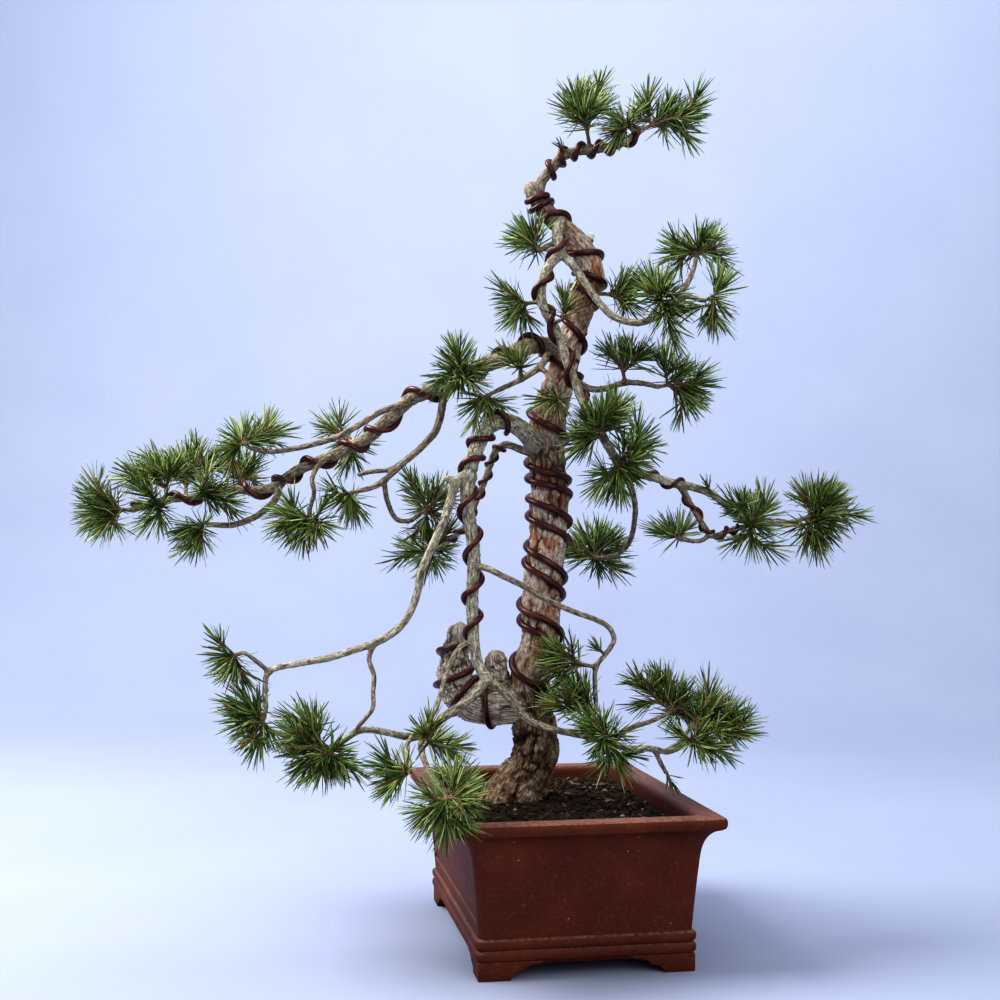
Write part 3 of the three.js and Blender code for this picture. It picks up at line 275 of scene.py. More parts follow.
# Needle sprays. Each is the tip of a route, or grows from a spur that leaves a route, (route, point
# number), and ends at end. Its shoots run to the tips. Places are (u, v, depth), as on the routes.
SPRAYS = {
    "apex_up": {"leaves": ("apex", 5), "end": (588, 137, -20),
        "tips": [(574, 101, -24), (594, 99, -12), (583, 113, -38)]},
    "apex_right": {"tip_of": "apex", "tips": [(690, 112, -20), (683, 126, 2), (645, 106, -2)]},
    "apex_front": {"leaves": ("apex", 8.5), "end": (630, 128, -26),
        "tips": [(617, 133, -40), (622, 120, -8)]},
    "crown_left": {"leaves": ("grey", 1.3), "end": (544, 249, -20),
        "tips": [(525, 236, -22), (527, 244, 8)]},
    "upper_left": {"leaves": ("grey", 5), "end": (532, 303, -28),
        "tips": [(512, 299, -38), (517, 317, -16)]},
    "upper_front": {"leaves": ("grey", 6.2), "end": (561, 320, -50), "tips": [(567, 307, -66)]},
    "burl_right": {"leaves": ("trunk", 15.5), "end": (604, 294, -2),
        "tips": [(628, 283, 6), (629, 302, -20)]},
    "bend": {"leaves": ("grey_right", 6.3), "end": (661, 303, -60),
        "tips": [(652, 284, -64), (664, 292, -84), (671, 326, -74)]},
    "ridge_up": {"tip_of": "grey_right", "tips": [(700, 244, -52), (716, 252, -28), (674, 254, -34)]},
    "ridge_right": {"tip_of": "grey_fork", "tips": [(721, 287, -64), (711, 317, -74)]},
    "middle_right_up": {"leaves": ("upper_right", 4), "end": (624, 377, -10),
        "tips": [(613, 356, -4), (638, 357, -22)]},
    "middle_right_end": {"tip_of": "upper_right",
        "tips": [(697, 384, -26), (691, 405, -6), (664, 363, -30)]},
    "heart_upper": {"leaves": ("grey", 11.8), "end": (603, 436, -57),
        "tips": [(590, 423, -68), (580, 447, -52), (620, 414, -44), (607, 411, -66)]},
    "heart_lower": {"leaves": ("grey", 12.5), "end": (618, 462, -57),
        "tips": [(640, 440, -62), (636, 460, -76), (600, 484, -66), (618, 487, -44)]},
    "star_left": {"leaves": ("big_left", 5.5), "end": (459, 373, -34),
        "tips": [(459, 355, -38), (446, 376, -50), (473, 384, -54)]},
    "star_middle": {"leaves": ("middle_twig", 2), "end": (521, 373, -50), "tips": [(519, 364, -66)]},
    "twig_end": {"tip_of": "middle_twig", "tips": [(479, 402, -52), (497, 405, -34)]},
    "front_star": {"tip_of": "middle_front", "tips": [(558, 402, -76)]},
    "hang_down_end": {"tip_of": "left_hang_down",
        "tips": [(417, 490, 14), (442, 496, 26), (424, 526, 34)]},
    "wired_end": {"tip_of": "wired_twig", "tips": [(414, 550, 20), (436, 562, 36), (444, 535, 40)]},
    "hang_right_end": {"tip_of": "hang_right",
        "tips": [(577, 556, 32), (587, 537, 44), (608, 538, 40), (612, 566, 44)]},
    "fork_low_left": {"tip_of": "right_low_left", "tips": [(672, 534, -66), (684, 530, -50)]},
    "fork_low_right": {"tip_of": "right_low",
        "tips": [(742, 506, -52), (765, 512, -36), (752, 542, -58)]},
    "right_end": {"tip_of": "grey",
        "tips": [(806, 496, 2), (829, 496, -16), (842, 513, 6), (824, 533, -18), (806, 541, -26)]},
    "left_tip": {"tip_of": "big_left", "tips": [(96, 493, 6), (92, 512, 18), (104, 527, -2)]},
    "left_back": {"leaves": ("big_left", 18.3), "end": (186, 488, 24),
        "tips": [(160, 463, 34), (184, 460, 50), (207, 459, 32)]},
    "left_front": {"leaves": ("big_left", 19), "end": (160, 503, -4),
        "tips": [(141, 489, -18), (160, 522, -26)]},
    "left_crown": {"leaves": ("big_left", 18.9), "end": (166, 491, 4),
        "tips": [(133, 474, -4), (172, 470, -12)]},
    "left_middle": {"leaves": ("big_left", 17.6), "end": (204, 494, -8),
        "tips": [(203, 487, -34), (226, 501, -28)]},
    "left_low_end": {"tip_of": "left_low", "tips": [(189, 529, -24), (200, 540, -36)]},
    "left_rear": {"leaves": ("big_left", 16.2), "end": (243, 484, 22),
        "tips": [(236, 463, 44), (252, 474, 60)]},
    "left_top_end": {"tip_of": "left_top", "tips": [(233, 449, -16), (245, 432, 2), (276, 432, -2)]},
    "left_far": {"leaves": ("big_left", 10.8), "end": (350, 440, 10),
        "tips": [(331, 427, 22), (354, 458, 30)]},
    "drop_end": {"tip_of": "left_drop", "tips": [(284, 513, -30), (302, 535, -40), (322, 526, -52)]},
    "drop_right": {"tip_of": "left_hang", "tips": [(345, 497, -44), (355, 509, -28)]},
    "low_left_top": {"tip_of": "long_left_tip", "tips": [(229, 656, -98), (236, 672, -84)]},
    "low_left_end": {"tip_of": "long_left",
        "tips": [(246, 700, -92), (240, 722, -104), (258, 744, -108)]},
    "low_left_star": {"tip_of": "cascade_left",
        "tips": [(296, 735, -126), (307, 718, -100), (302, 763, -106), (330, 768, -116), (344, 762, -134)]},
    "thin_end": {"tip_of": "cascade_thin", "tips": [(387, 767, -134), (395, 784, -152)]},
    "pad_up": {"leaves": ("pad_stem", 1.2), "end": (426, 745, -116),
        "tips": [(424, 733, -132), (449, 752, -104)]},
    "pad_end": {"tip_of": "pad_stem",
        "tips": [(426, 812, -186), (446, 826, -192), (467, 800, -190), (457, 775, -166)]},
    "low_right_left": {"leaves": ("front_twig", 11), "end": (589, 666, -54),
        "tips": [(558, 654, -62), (553, 669, -44)]},
    "low_right_drop": {"tip_of": "front_twig", "tips": [(576, 690, -56), (557, 706, -66)]},
    "low_right_middle": {"leaves": ("cascade_right", 7), "end": (610, 740, -73),
        "tips": [(590, 727, -84), (604, 735, -102), (619, 764, -86)]},
    "low_right_up": {"tip_of": "right_inner",
        "tips": [(642, 686, -26), (669, 684, -12), (690, 701, -14), (686, 716, 6)]},
    "low_right_star": {"tip_of": "cascade_right", "tips": [(692, 741, -88), (716, 748, -70)]},
    "low_right_end": {"leaves": ("cascade_right", 10.5), "end": (688, 731, -52),
        "tips": [(734, 717, -50), (741, 733, -62), (711, 704, -40)]},
}

# From the tree's own front frame, in millimetres, to the frame of the solids, in metres
pot_low, pot_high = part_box("pot")
POT_CENTRE = np.array([(pot_low.x + pot_high.x) / 2, (pot_low.y + pot_high.y) / 2, 0.0])
POT_PLACING = Matrix.Translation(POT_CENTRE.tolist()) @ Matrix.Scale(MM, 4)
TURN = np.array([
    [math.cos(FRONT_TURN), math.sin(FRONT_TURN), 0.0],
    [-math.sin(FRONT_TURN), math.cos(FRONT_TURN), 0.0],
    [0.0, 0.0, 1.0],
])
FULL_TURN = 2 * math.pi
TINY = 1e-9
NEARLY_UPRIGHT = 0.85


def to_frame(points):
    """Places of the tree, in millimetres from the pot's middle, as places in the frame, in metres."""
    return np.asarray(points) @ TURN.T * MM + POT_CENTRE


def sight(places):
    """Turns pixels with a depth into points at that depth on the eye's lines of sight."""
    places = np.asarray(places, float)
    reach = (places[:, 2] - EYE[1]) / -EYE[1]
    across = EYE[0] + ((places[:, 0] - BASE_PIXEL[0]) * PIXEL - EYE[0]) * reach
    up = EYE[2] + ((BASE_PIXEL[1] - places[:, 1]) * PIXEL - EYE[2]) * reach
    return np.column_stack([across, places[:, 2], up])


def unit(vectors):
    vectors = np.asarray(vectors, float)
    return vectors / np.maximum(np.linalg.norm(vectors, axis=-1, keepdims=True), TINY)


def smoothstep(low, high, value):
    part = np.clip((value - low) / (high - low), 0, 1)
    return part * part * (3 - 2 * part)


def scaled(values, scales):
    return Vector([value * scale for value, scale in zip(values, scales)])


def noises(place, parts):
    """Noise of several sizes added up. Each part is (how fine, how much)."""
    return sum(share * noise.noise(place * scale) for scale, share in parts)


# A smooth way through points: a Hermite curve whose slopes come from the neighbours. Places on it
# are point numbers with fractions.
def curve_at(points, places):
    points = np.asarray(points, float)
    count = len(points)
    steps = np.linalg.norm(np.diff(points, axis=0), axis=1)
    knots = np.concatenate([[0], np.cumsum(np.maximum(steps, TINY))])
    ahead = np.minimum(np.arange(count) + 1, count - 1)
    behind = np.maximum(np.arange(count) - 1, 0)
    slopes = (points[ahead] - points[behind]) / (knots[ahead] - knots[behind])[:, None]
    index = np.clip(np.floor(places).astype(int), 0, count - 2)
    part = (places - index)[:, None]
    width = (knots[index + 1] - knots[index])[:, None]
    far = part ** 2 * (3 - 2 * part)
    lean_near = part ** 3 - 2 * part ** 2 + part
    lean_far = part ** 3 - part ** 2
    spots = ((1 - far) * points[index] + far * points[index + 1]
             + width * (lean_near * slopes[index] + lean_far * slopes[index + 1]))
    beyond = (places < 0) | (places > count - 1)
    return np.where(beyond[:, None], points[index] + (points[index + 1] - points[index]) * part, spots)


def smooth_way(points, radii, step):
    """Points and radii about one step apart along the smooth way through points."""
    points = np.asarray(points, float)
    places = [0.0]
    for i, length in enumerate(np.linalg.norm(np.diff(points, axis=0), axis=1)):
        pieces = max(1, round(length / step))
        places.extend(i + (k + 1) / pieces for k in range(pieces))
    places = np.array(places)
    return curve_at(points, places), np.interp(places, np.arange(len(points)), radii)


def carried_frames(points):
    """Two vectors across the way at each point, carried along it without twisting."""
    tangents = unit(np.gradient(points, axis=0))
    upright = abs(tangents[0][2]) > NEARLY_UPRIGHT
    across = unit(np.cross([1.0, 0.0, 0.0] if upright else UP, tangents[0]))
    frames = []
    for tangent in tangents:
        across = unit(across - tangent * np.dot(across, tangent))
        frames.append(across)
    return np.array(frames), np.cross(tangents, frames)


def outward_from(axis, helper):
    """A function that turns an angle into the direction in which it leaves the axis."""
    across = unit(np.cross(axis, helper))
    up = np.cross(axis, across)
    return lambda angle: math.cos(angle) * across + math.sin(angle) * up


def ring_faces(rows, sides):
    """The faces between closed rings of points, ring after ring."""
    faces = []
    for row in range(rows - 1):
        for side in range(sides):
            low, low_next = row * sides + side, row * sides + (side + 1) % sides
            faces.append((low, low_next, low_next + sides, low + sides))
    return faces


def linked(name, data):
    """A new object in the scene that holds a mesh, a lamp or a camera."""
    item = bpy.data.objects.new(name, data)
    bpy.context.scene.collection.objects.link(item)
    return item


def set_values(mesh, name, values):
    """Gives each vertex a number, or a vector, that a material can read."""
    values = np.asarray(values, np.float32)
    kind, key = ("FLOAT", "value") if values.ndim == 1 else ("FLOAT_VECTOR", "vector")
    mesh.attributes.new(name, kind, "POINT").data.foreach_set(key, values.ravel())


def vectors_of(items, key):
    found = np.empty(len(items) * 3)
    items.foreach_get(key, found)
    return found.reshape(-1, 3)


@contextlib.contextmanager
def edited(mesh):
    """A mesh's shape to work on, which is then written back to the mesh."""
    shape = bmesh.new()
    shape.from_mesh(mesh)
    yield shape
    shape.to_mesh(mesh)
    shape.free()


class MeshData:
    """Collects vertices, faces, material numbers and per-vertex values of one mesh."""

    def __init__(self):
        self.points = []
        self.faces = []
        self.finishes = []
        self.values = {}
        self.count = 0

    def add(self, points, faces, finish=0, **values):
        self.points.append(np.asarray(points, float))
        self.faces.extend(tuple(corner + self.count for corner in face) for face in faces)
        self.finishes.extend([finish] * len(faces))
        for name, value in values.items():
            self.values.setdefault(name, []).append(np.broadcast_to(value, len(points)))
        self.count += len(points)

    def tube(self, points, radii, sides, finish=0, **values):
        """A closed round tube along points. A value is one number, or one for each point."""
        across, up = carried_frames(points)
        angles = np.arange(sides)[None, :, None] * FULL_TURN / sides
        ring = np.cos(angles) * across[:, None] + np.sin(angles) * up[:, None]
        spots = (points[:, None] + ring * np.asarray(radii)[:, None, None]).reshape(-1, 3)
        rows = len(points)
        ends = [tuple(range(sides - 1, -1, -1)), tuple(range((rows - 1) * sides, rows * sides))]
        values = {name: np.repeat(np.broadcast_to(value, rows), sides) for name, value in values.items()}
        self.add(spots, ring_faces(rows, sides) + ends, finish, **values)

    def build(self, name, materials):
        mesh = bpy.data.meshes.new(name)
        mesh.from_pydata(np.concatenate(self.points).tolist(), [], self.faces)
        for material in materials:
            mesh.materials.append(material)
        mesh.polygons.foreach_set("material_index", self.finishes)
        for value_name, parts in self.values.items():
            set_values(mesh, value_name, np.concatenate(parts))
        mesh.shade_smooth()
        mesh.update()
        return linked(name, mesh)


class Bars:
    """Tapered round bars, a row each: start, end and both radii. Each bar has an owner."""

    def __init__(self):
        self.rows = np.empty((0, 8))
        self.owners = []

    def add(self, owner, points, radii):
        """One bar for each step between the points."""
        points = np.asarray(points, float)
        radii = np.broadcast_to(radii, len(points))[:, None]
        self.rows = np.vstack([self.rows, np.hstack([points[:-1], points[1:], radii[:-1], radii[1:]])])
        self.owners += [owner] * (len(points) - 1)

    def near(self, low, high, margin=0.0, owner=None):
        """Numbers of the bars that come within a margin of a box, without the owner's."""
        ends = self.rows[:, :6].reshape(-1, 2, 3)
        reach = self.rows[:, 6:].max(1, keepdims=True) + margin
        inside = ((ends.min(1) - reach <= high) & (ends.max(1) + reach >= low)).all(1)
        return np.nonzero(inside & [other != owner for other in self.owners])[0]


def away_from_bars(spots, rows):
    """For each place and each bar: the gap to its skin, the direction away from it, how far along it
    the nearest point is, and its radius there."""
    starts, steps = rows[:, :3], rows[:, 3:6] - rows[:, :3]
    wide, thin = rows[:, 6], rows[:, 7]
    size = np.maximum(np.einsum("ij,ij->i", steps, steps), TINY)
    part = np.clip(np.einsum("nmj,mj->nm", spots[:, None] - starts, steps) / size, 0, 1)
    away = spots[:, None] - starts - part[..., None] * steps
    reach = np.linalg.norm(away, axis=2)
    radius = wide + part * (thin - wide)
    return reach - radius, away / np.maximum(reach, TINY)[..., None], part, radius


def dress(piece, node_names):
    """Every piece rides on the plant's one body and stands for CAD nodes."""
    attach(piece, "root")
    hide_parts(*node_names)
    return piece


def modified(piece, kind, **settings):
    """Adds one modifier and applies it."""
    modifier = piece.modifiers.new(kind.lower(), kind)
    for name, value in settings.items():
        setattr(modifier, name, value)
    depsgraph = bpy.context.evaluated_depsgraph_get()
    mesh = bpy.data.meshes.new_from_object(piece.evaluated_get(depsgraph))
    piece.modifiers.clear()
    old = piece.data
    piece.data = mesh
    bpy.data.meshes.remove(old)


# Materials. Every finish is a node tree of its own.
class Recipe:
    """Short calls for building one material's nodes. A value is a socket or a constant."""

    def __init__(self, name):
        self.material = bpy.data.materials.new(name)
        self.material.use_nodes = True
        self.tree = self.material.node_tree
        self.tree.nodes.clear()
        self.shader = self.tree.nodes.new("ShaderNodeBsdfPrincipled")
        output = self.tree.nodes.new("ShaderNodeOutputMaterial")
        self.tree.links.new(self.shader.outputs[0], output.inputs["Surface"])

    def put(self, socket, value):
        if isinstance(value, bpy.types.NodeSocket):
            self.tree.links.new(value, socket)
        elif isinstance(value, tuple) and socket.type == "RGBA":
            socket.default_value = (*value, 1.0)
        else:
            socket.default_value = value

    def node(self, kind, output, inputs, **settings):
        """One output of a new node that has these settings and inputs."""
        node = self.tree.nodes.new(kind)
        for name, setting in settings.items():
            setattr(node, name, setting)
        for name, value in inputs.items():
            self.put(node.inputs[name], value)
        return node.outputs[output]

    def finish(self, **values):
        for name, value in values.items():
            self.put(self.shader.inputs[name.replace("_", " ")], value)
        return self.material

    def place(self, output="Object"):
        return self.node("ShaderNodeTexCoord", output, {})

    def facing_up(self):
        return self.node("ShaderNodeSeparateXYZ", "Z", {0: self.place("Normal")})

    def value(self, name, output="Fac"):
        return self.node("ShaderNodeAttribute", output, {}, attribute_name=name)

    def stretched(self, vector, up_scale):
        return self.node("ShaderNodeMapping", 0, {"Vector": vector, "Scale": (1.0, 1.0, up_scale)})

    def noise(self, vector, scale, detail, roughness):
        return self.node("ShaderNodeTexNoise", 0, {
            "Vector": vector, "Scale": scale, "Detail": detail, "Roughness": roughness})

    def cells(self, vector, scale, output="Distance"):
        return self.node("ShaderNodeTexVoronoi", output, {"Vector": vector, "Scale": scale})

    def between(self, value, low, high, to_low=0.0, to_high=1.0):
        return self.node("ShaderNodeMapRange", 0, {
            "Value": value, "From Min": low, "From Max": high, "To Min": to_low, "To Max": to_high,
        }, interpolation_type="SMOOTHSTEP")

    def combined(self, operation, first, second):
        return self.node("ShaderNodeMath", 0, {0: first, 1: second}, operation=operation)

    def times(self, first, second):
        return self.combined("MULTIPLY", first, second)

    def plus(self, first, second):
        return self.combined("ADD", first, second)

    def mix(self, share, first, second):
        return self.node("ShaderNodeMix", 2, {"Factor": share, 6: first, 7: second}, data_type="RGBA")

    def ramp(self, value, *stops):
        node = self.tree.nodes.new("ShaderNodeValToRGB")
        self.put(node.inputs[0], value)
        elements = node.color_ramp.elements
        while len(elements) < len(stops):
            elements.new(0.5)
        for element, (position, colour) in zip(elements, stops):
            element.position = position
            element.color = (*colour, 1.0)
        return node.outputs[0]

    def bump(self, height, distance, strength):
        return self.node("ShaderNodeBump", 0, {
            "Height": height, "Distance": distance, "Strength": strength})


CRACK_BROWN = (0.025, 0.016, 0.012)
CUT_WOOD = (0.74, 0.7, 0.62)
LICHEN_GREEN = (0.74, 0.77, 0.62)
SPECK_BROWN = (0.05, 0.04, 0.028)
WORN_COPPER = (0.3, 0.15, 0.14)
WAXY_GREEN = (0.23, 0.29, 0.14)
NEEDLE_TIP = (0.3, 0.3, 0.12)
SHEATH_BROWN = (0.2, 0.13, 0.07)
CLAY_GRIT = (0.2, 0.078, 0.05)
CLAY_SPECK = (0.028, 0.008, 0.004)
# Pale clay colour for the random dust patches, and also for the painted top light on upward faces
CLAY_DUST_AND_TOP_LIGHT = (0.33, 0.2, 0.16)
CLAY_CHIP = (0.55, 0.45, 0.38)
SOIL_DUST = (0.085, 0.062, 0.045)


def bark_material():
    recipe = Recipe("pine_bark")
    spot = recipe.place()
    bark = recipe.value("bark_place", "Vector")
    height = recipe.value("height")
    along = recipe.stretched(bark, 0.35)
    grain = recipe.noise(along, 0.5, 6.0, 0.62)
    fine = recipe.noise(spot, 900.0, 4.0, 0.6)
    broad = recipe.noise(spot, 28.0, 3.0, 0.5)

    old = recipe.ramp(grain, (0.28, (0.12, 0.08, 0.06)), (0.4, (0.33, 0.25, 0.195)),
                      (0.52, (0.54, 0.45, 0.37)), (0.7, (0.8, 0.73, 0.64)))
    orange = recipe.ramp(grain, (0.35, (0.2, 0.07, 0.025)), (0.65, (0.56, 0.25, 0.105)))
    layer = recipe.plus(recipe.noise(spot, 45.0, 3.0, 0.6), recipe.times(height, -0.1))
    old = recipe.mix(recipe.between(layer, 0.53, 0.63, 0.0, 0.8), old, orange)
    red_brown = recipe.ramp(grain, (0.3, (0.1, 0.05, 0.03)), (0.5, (0.27, 0.155, 0.1)),
                            (0.7, (0.46, 0.31, 0.22)))
    old = recipe.mix(recipe.between(broad, 0.47, 0.6, 0.0, 0.7), old, red_brown)
    flake = recipe.plus(grain, recipe.times(height, 0.05))
    low_brown = recipe.ramp(flake, (0.36, (0.06, 0.032, 0.018)), (0.5, (0.2, 0.118, 0.064)),
                            (0.62, (0.36, 0.27, 0.19)), (0.76, (0.62, 0.56, 0.47)))
    old = recipe.mix(recipe.times(recipe.value("low"), 0.85), old, low_brown)

    brown = recipe.ramp(grain, (0.32, (0.055, 0.036, 0.024)), (0.5, (0.16, 0.115, 0.075)),
                        (0.68, (0.36, 0.28, 0.2)))
    grey = recipe.ramp(grain, (0.32, (0.12, 0.1, 0.07)), (0.46, (0.32, 0.29, 0.215)),
                       (0.64, (0.68, 0.66, 0.53)))
    pale = recipe.value("pale")
    lichen = recipe.times(recipe.between(recipe.cells(spot, 420.0), 0.32, 0.18),
                          recipe.between(broad, 0.48, 0.6))
    young = recipe.mix(recipe.times(lichen, pale), recipe.mix(pale, brown, grey), LICHEN_GREEN)
    speck = recipe.between(recipe.noise(along, 1.6, 3.0, 0.6), 0.46, 0.36, 0.0, 0.85)
    young = recipe.mix(speck, young, SPECK_BROWN)

    fibres = recipe.noise(recipe.stretched(bark, 0.08), 1.1, 5.0, 0.6)
    dead = recipe.ramp(fibres, (0.34, (0.09, 0.068, 0.05)), (0.48, (0.46, 0.38, 0.305)),
                       (0.62, (0.84, 0.77, 0.68)))
    colour = recipe.mix(recipe.value("old"), young, old)
    colour = recipe.mix(recipe.value("dead"), colour, dead)
    colour = recipe.mix(recipe.times(recipe.value("crack"), 0.85), colour, CRACK_BROWN)
    return recipe.finish(
        Base_Color=recipe.mix(recipe.value("cut"), colour, CUT_WOOD),
        Roughness=recipe.between(fine, 0.3, 0.7, 0.78, 0.95),
        Specular_IOR_Level=0.2,
        Normal=recipe.bump(recipe.plus(recipe.times(grain, 0.8), recipe.times(fine, 0.35)), 0.0012, 1.0),
    )


def wire_material():
    recipe = Recipe("copper_red_wire")
    spot = recipe.place()
    tarnish = recipe.noise(spot, 90.0, 4.0, 0.6)
    streak = recipe.noise(recipe.stretched(spot, 0.3), 1400.0, 3.0, 0.5)
    colour = recipe.ramp(tarnish, (0.3, (0.04, 0.0095, 0.0075)), (0.55, (0.085, 0.021, 0.017)),
                         (0.75, (0.15, 0.045, 0.037)))
    return recipe.finish(
        Base_Color=recipe.mix(recipe.between(streak, 0.55, 0.75, 0.0, 0.3), colour, WORN_COPPER),
        Metallic=0.35,
        Roughness=recipe.between(tarnish, 0.3, 0.7, 0.27, 0.42),
        Normal=recipe.bump(streak, 0.00006, 0.5),
    )


def needle_material():
    """Green needles, and dry tan ones where the tone is lowest."""
    recipe = Recipe("pine_needle")
    spot = recipe.place()
    along = recipe.value("along")
    colour = recipe.ramp(recipe.value("tone"), (0.0, (0.26, 0.14, 0.05)), (0.05, (0.24, 0.13, 0.045)),
                         (0.07, (0.018, 0.04, 0.006)), (0.35, (0.07, 0.135, 0.02)),
                         (0.7, (0.19, 0.29, 0.055)), (1.0, (0.5, 0.56, 0.26)))
    band = recipe.noise(spot, 260.0, 3.0, 0.6)
    colour = recipe.mix(recipe.between(band, 0.45, 0.7, 0.0, 0.35), colour, WAXY_GREEN)
    colour = recipe.mix(recipe.between(along, 0.9, 1.0, 0.0, 0.55), colour, NEEDLE_TIP)
    return recipe.finish(
        Base_Color=recipe.mix(recipe.between(along, 0.1, 0.02), colour, SHEATH_BROWN),
        Roughness=recipe.between(band, 0.3, 0.7, 0.34, 0.5),
        Specular_IOR_Level=0.45,
        Normal=recipe.bump(recipe.noise(spot, 2600.0, 2.0, 0.5), 0.00008, 0.6),
    )


def twig_material():
    recipe = Recipe("young_twig")
    grain = recipe.noise(recipe.place(), 700.0, 4.0, 0.6)
    return recipe.finish(
        Base_Color=recipe.ramp(grain, (0.3, (0.08, 0.05, 0.025)), (0.55, (0.2, 0.14, 0.075)),
                               (0.75, (0.32, 0.25, 0.15))),
        Roughness=recipe.between(grain, 0.3, 0.7, 0.7, 0.9),
        Normal=recipe.bump(grain, 0.0004, 0.8),
    )


def bud_material():
    recipe = Recipe("resin_bud")
    scales = recipe.cells(recipe.place(), 900.0)
    return recipe.finish(
        Base_Color=recipe.ramp(scales, (0.1, (0.42, 0.27, 0.14)), (0.6, (0.2, 0.1, 0.045))),
        Roughness=recipe.between(scales, 0.1, 0.6, 0.4, 0.6),
        Normal=recipe.bump(scales, 0.0003, 0.7),
    )


def clay_material():
    """Unglazed clay with grit, dark specks, a few pale chips, patches of dust, and painted top light that
    makes the faces turned upward paler.
    """
    recipe = Recipe("unglazed_clay")
    spot = recipe.place()
    cloud = recipe.noise(spot, 16.0, 5.0, 0.6)
    fine = recipe.noise(spot, 420.0, 5.0, 0.6)
    colour = recipe.ramp(cloud, (0.3, (0.064, 0.0125, 0.0045)), (0.55, (0.1, 0.0205, 0.007)),
                         (0.75, (0.145, 0.034, 0.012)))
    colour = recipe.mix(recipe.between(fine, 0.45, 0.75, 0.0, 0.3), colour, CLAY_GRIT)
    speck = recipe.between(recipe.noise(spot, 1100.0, 2.0, 0.6), 0.6, 0.7, 0.0, 0.6)
    colour = recipe.mix(speck, colour, CLAY_SPECK)
    dust = recipe.between(recipe.noise(spot, 120.0, 4.0, 0.65), 0.62, 0.78, 0.0, 0.25)
    # Painted top light: faces turned upward are painted paler, standing in for the light from above; the
    # noise patches above are real dust
    painted_top_light = recipe.between(recipe.facing_up(), 0.4, 0.95, 0.0, 0.5)
    painted_top_light = recipe.times(painted_top_light, recipe.between(fine, 0.3, 0.6))
    colour = recipe.mix(recipe.combined("MAXIMUM", dust, painted_top_light), colour, CLAY_DUST_AND_TOP_LIGHT)
    chip = recipe.times(recipe.between(recipe.cells(spot, 170.0), 0.1, 0.06),
                        recipe.between(recipe.cells(spot, 170.0, "Color"), 0.72, 0.78))
    pits = recipe.between(recipe.cells(spot, 600.0), 0.0, 0.35)
    return recipe.finish(
        Base_Color=recipe.mix(chip, colour, CLAY_CHIP),
        Roughness=recipe.between(fine, 0.3, 0.7, 0.5, 0.72),
        Specular_IOR_Level=0.22,
        Normal=recipe.bump(recipe.plus(recipe.times(fine, 0.7), recipe.times(pits, 0.3)), 0.00025, 0.6),
    )


def soil_material():
    """Dark soil, and dry tan bits where the tone is highest."""
    recipe = Recipe("dark_soil")
    grain = recipe.noise(recipe.place(), 500.0, 5.0, 0.65)
    colour = recipe.ramp(recipe.value("tone"), (0.0, (0.014, 0.009, 0.006)), (0.5, (0.038, 0.024, 0.016)),
                         (0.85, (0.08, 0.052, 0.035)), (1.0, (0.3, 0.2, 0.12)))
    return recipe.finish(
        Base_Color=recipe.mix(recipe.between(grain, 0.5, 0.75, 0.0, 0.4), colour, SOIL_DUST),
        Roughness=recipe.between(grain, 0.3, 0.7, 0.8, 0.98),
        Specular_IOR_Level=0.2,
        Normal=recipe.bump(grain, 0.0006, 0.9),
    )


def floor_material():
    """A pale blue with painted shade: the floor is painted darker than the backdrop above it."""
    recipe = Recipe("pale_floor")
    shade = recipe.noise(recipe.place(), 3.0, 2.0, 0.5)
    high = recipe.ramp(shade, (0.3, (0.58, 0.635, 0.82)), (0.7, (0.6, 0.655, 0.84)))
    # Painted shade: the floor is a darker copy of the backdrop's blue
    low = recipe.ramp(shade, (0.3, (0.32, 0.36, 0.49)), (0.7, (0.34, 0.38, 0.51)))
    return recipe.finish(
        Base_Color=recipe.mix(recipe.value("raised"), low, high),
        Roughness=recipe.between(shade, 0.3, 0.7, 0.85, 0.9),
        Specular_IOR_Level=0.2,
    )


# Wood: all routes as smooth tubes, joined into one skin that swells where a branch leaves
WOOD_STEP = 3.0
WOOD_VOXEL = 1.25
THICK_WAY = 6
THICK_SIDES = 20
THIN_SIDES = 10
CAP_REACH = 0.45
CAP_RADIUS = 0.6
FORK_FILLET = 2.6
SETTLE_ROUNDS = 2
WOOD_REACH = 6.0
CHUNK_SIZE = 1500
CHUNK_LAYER = 12
BARK_KEPT = 0.66
SPUR_FOOT_RADIUS = 2.0
SPUR_END_RADIUS = 1.6
STEM_LENGTH = 4.0

# How pale each route is
PALE_BY_ROUTE = {
    "trunk": 0.42, "apex": 0.45, "grey": 0.8, "grey_right": 0.7, "grey_fork": 0.6, "big_left": 0.38,
    "left_top": 0.3, "cascade": 0.95, "cascade_left": 0.85, "cascade_right": 0.8, "long_left": 0.8,
    "front_twig": 0.45, "cascade_thin": 0.7, "pad_stem": 0.45, "upper_right": 0.5, "middle_twig": 0.35,
    "deadwood": 0.62, "deadwood_stub": 0.62, "left_stub": 0.7, "wired_twig": 0.4, "right_inner": 0.4,
    "dark_stub": 0.0,
}
PALE_OTHERWISE = 0.25
DEAD_ROUTES = ("deadwood", "deadwood_stub")
OLD_BARK = (6.5, 11.5)
FOOT_BARK = (250, 170)
CUT_ROUTE = "dark_stub"
CUT_REACH = (5.2, 4.4)

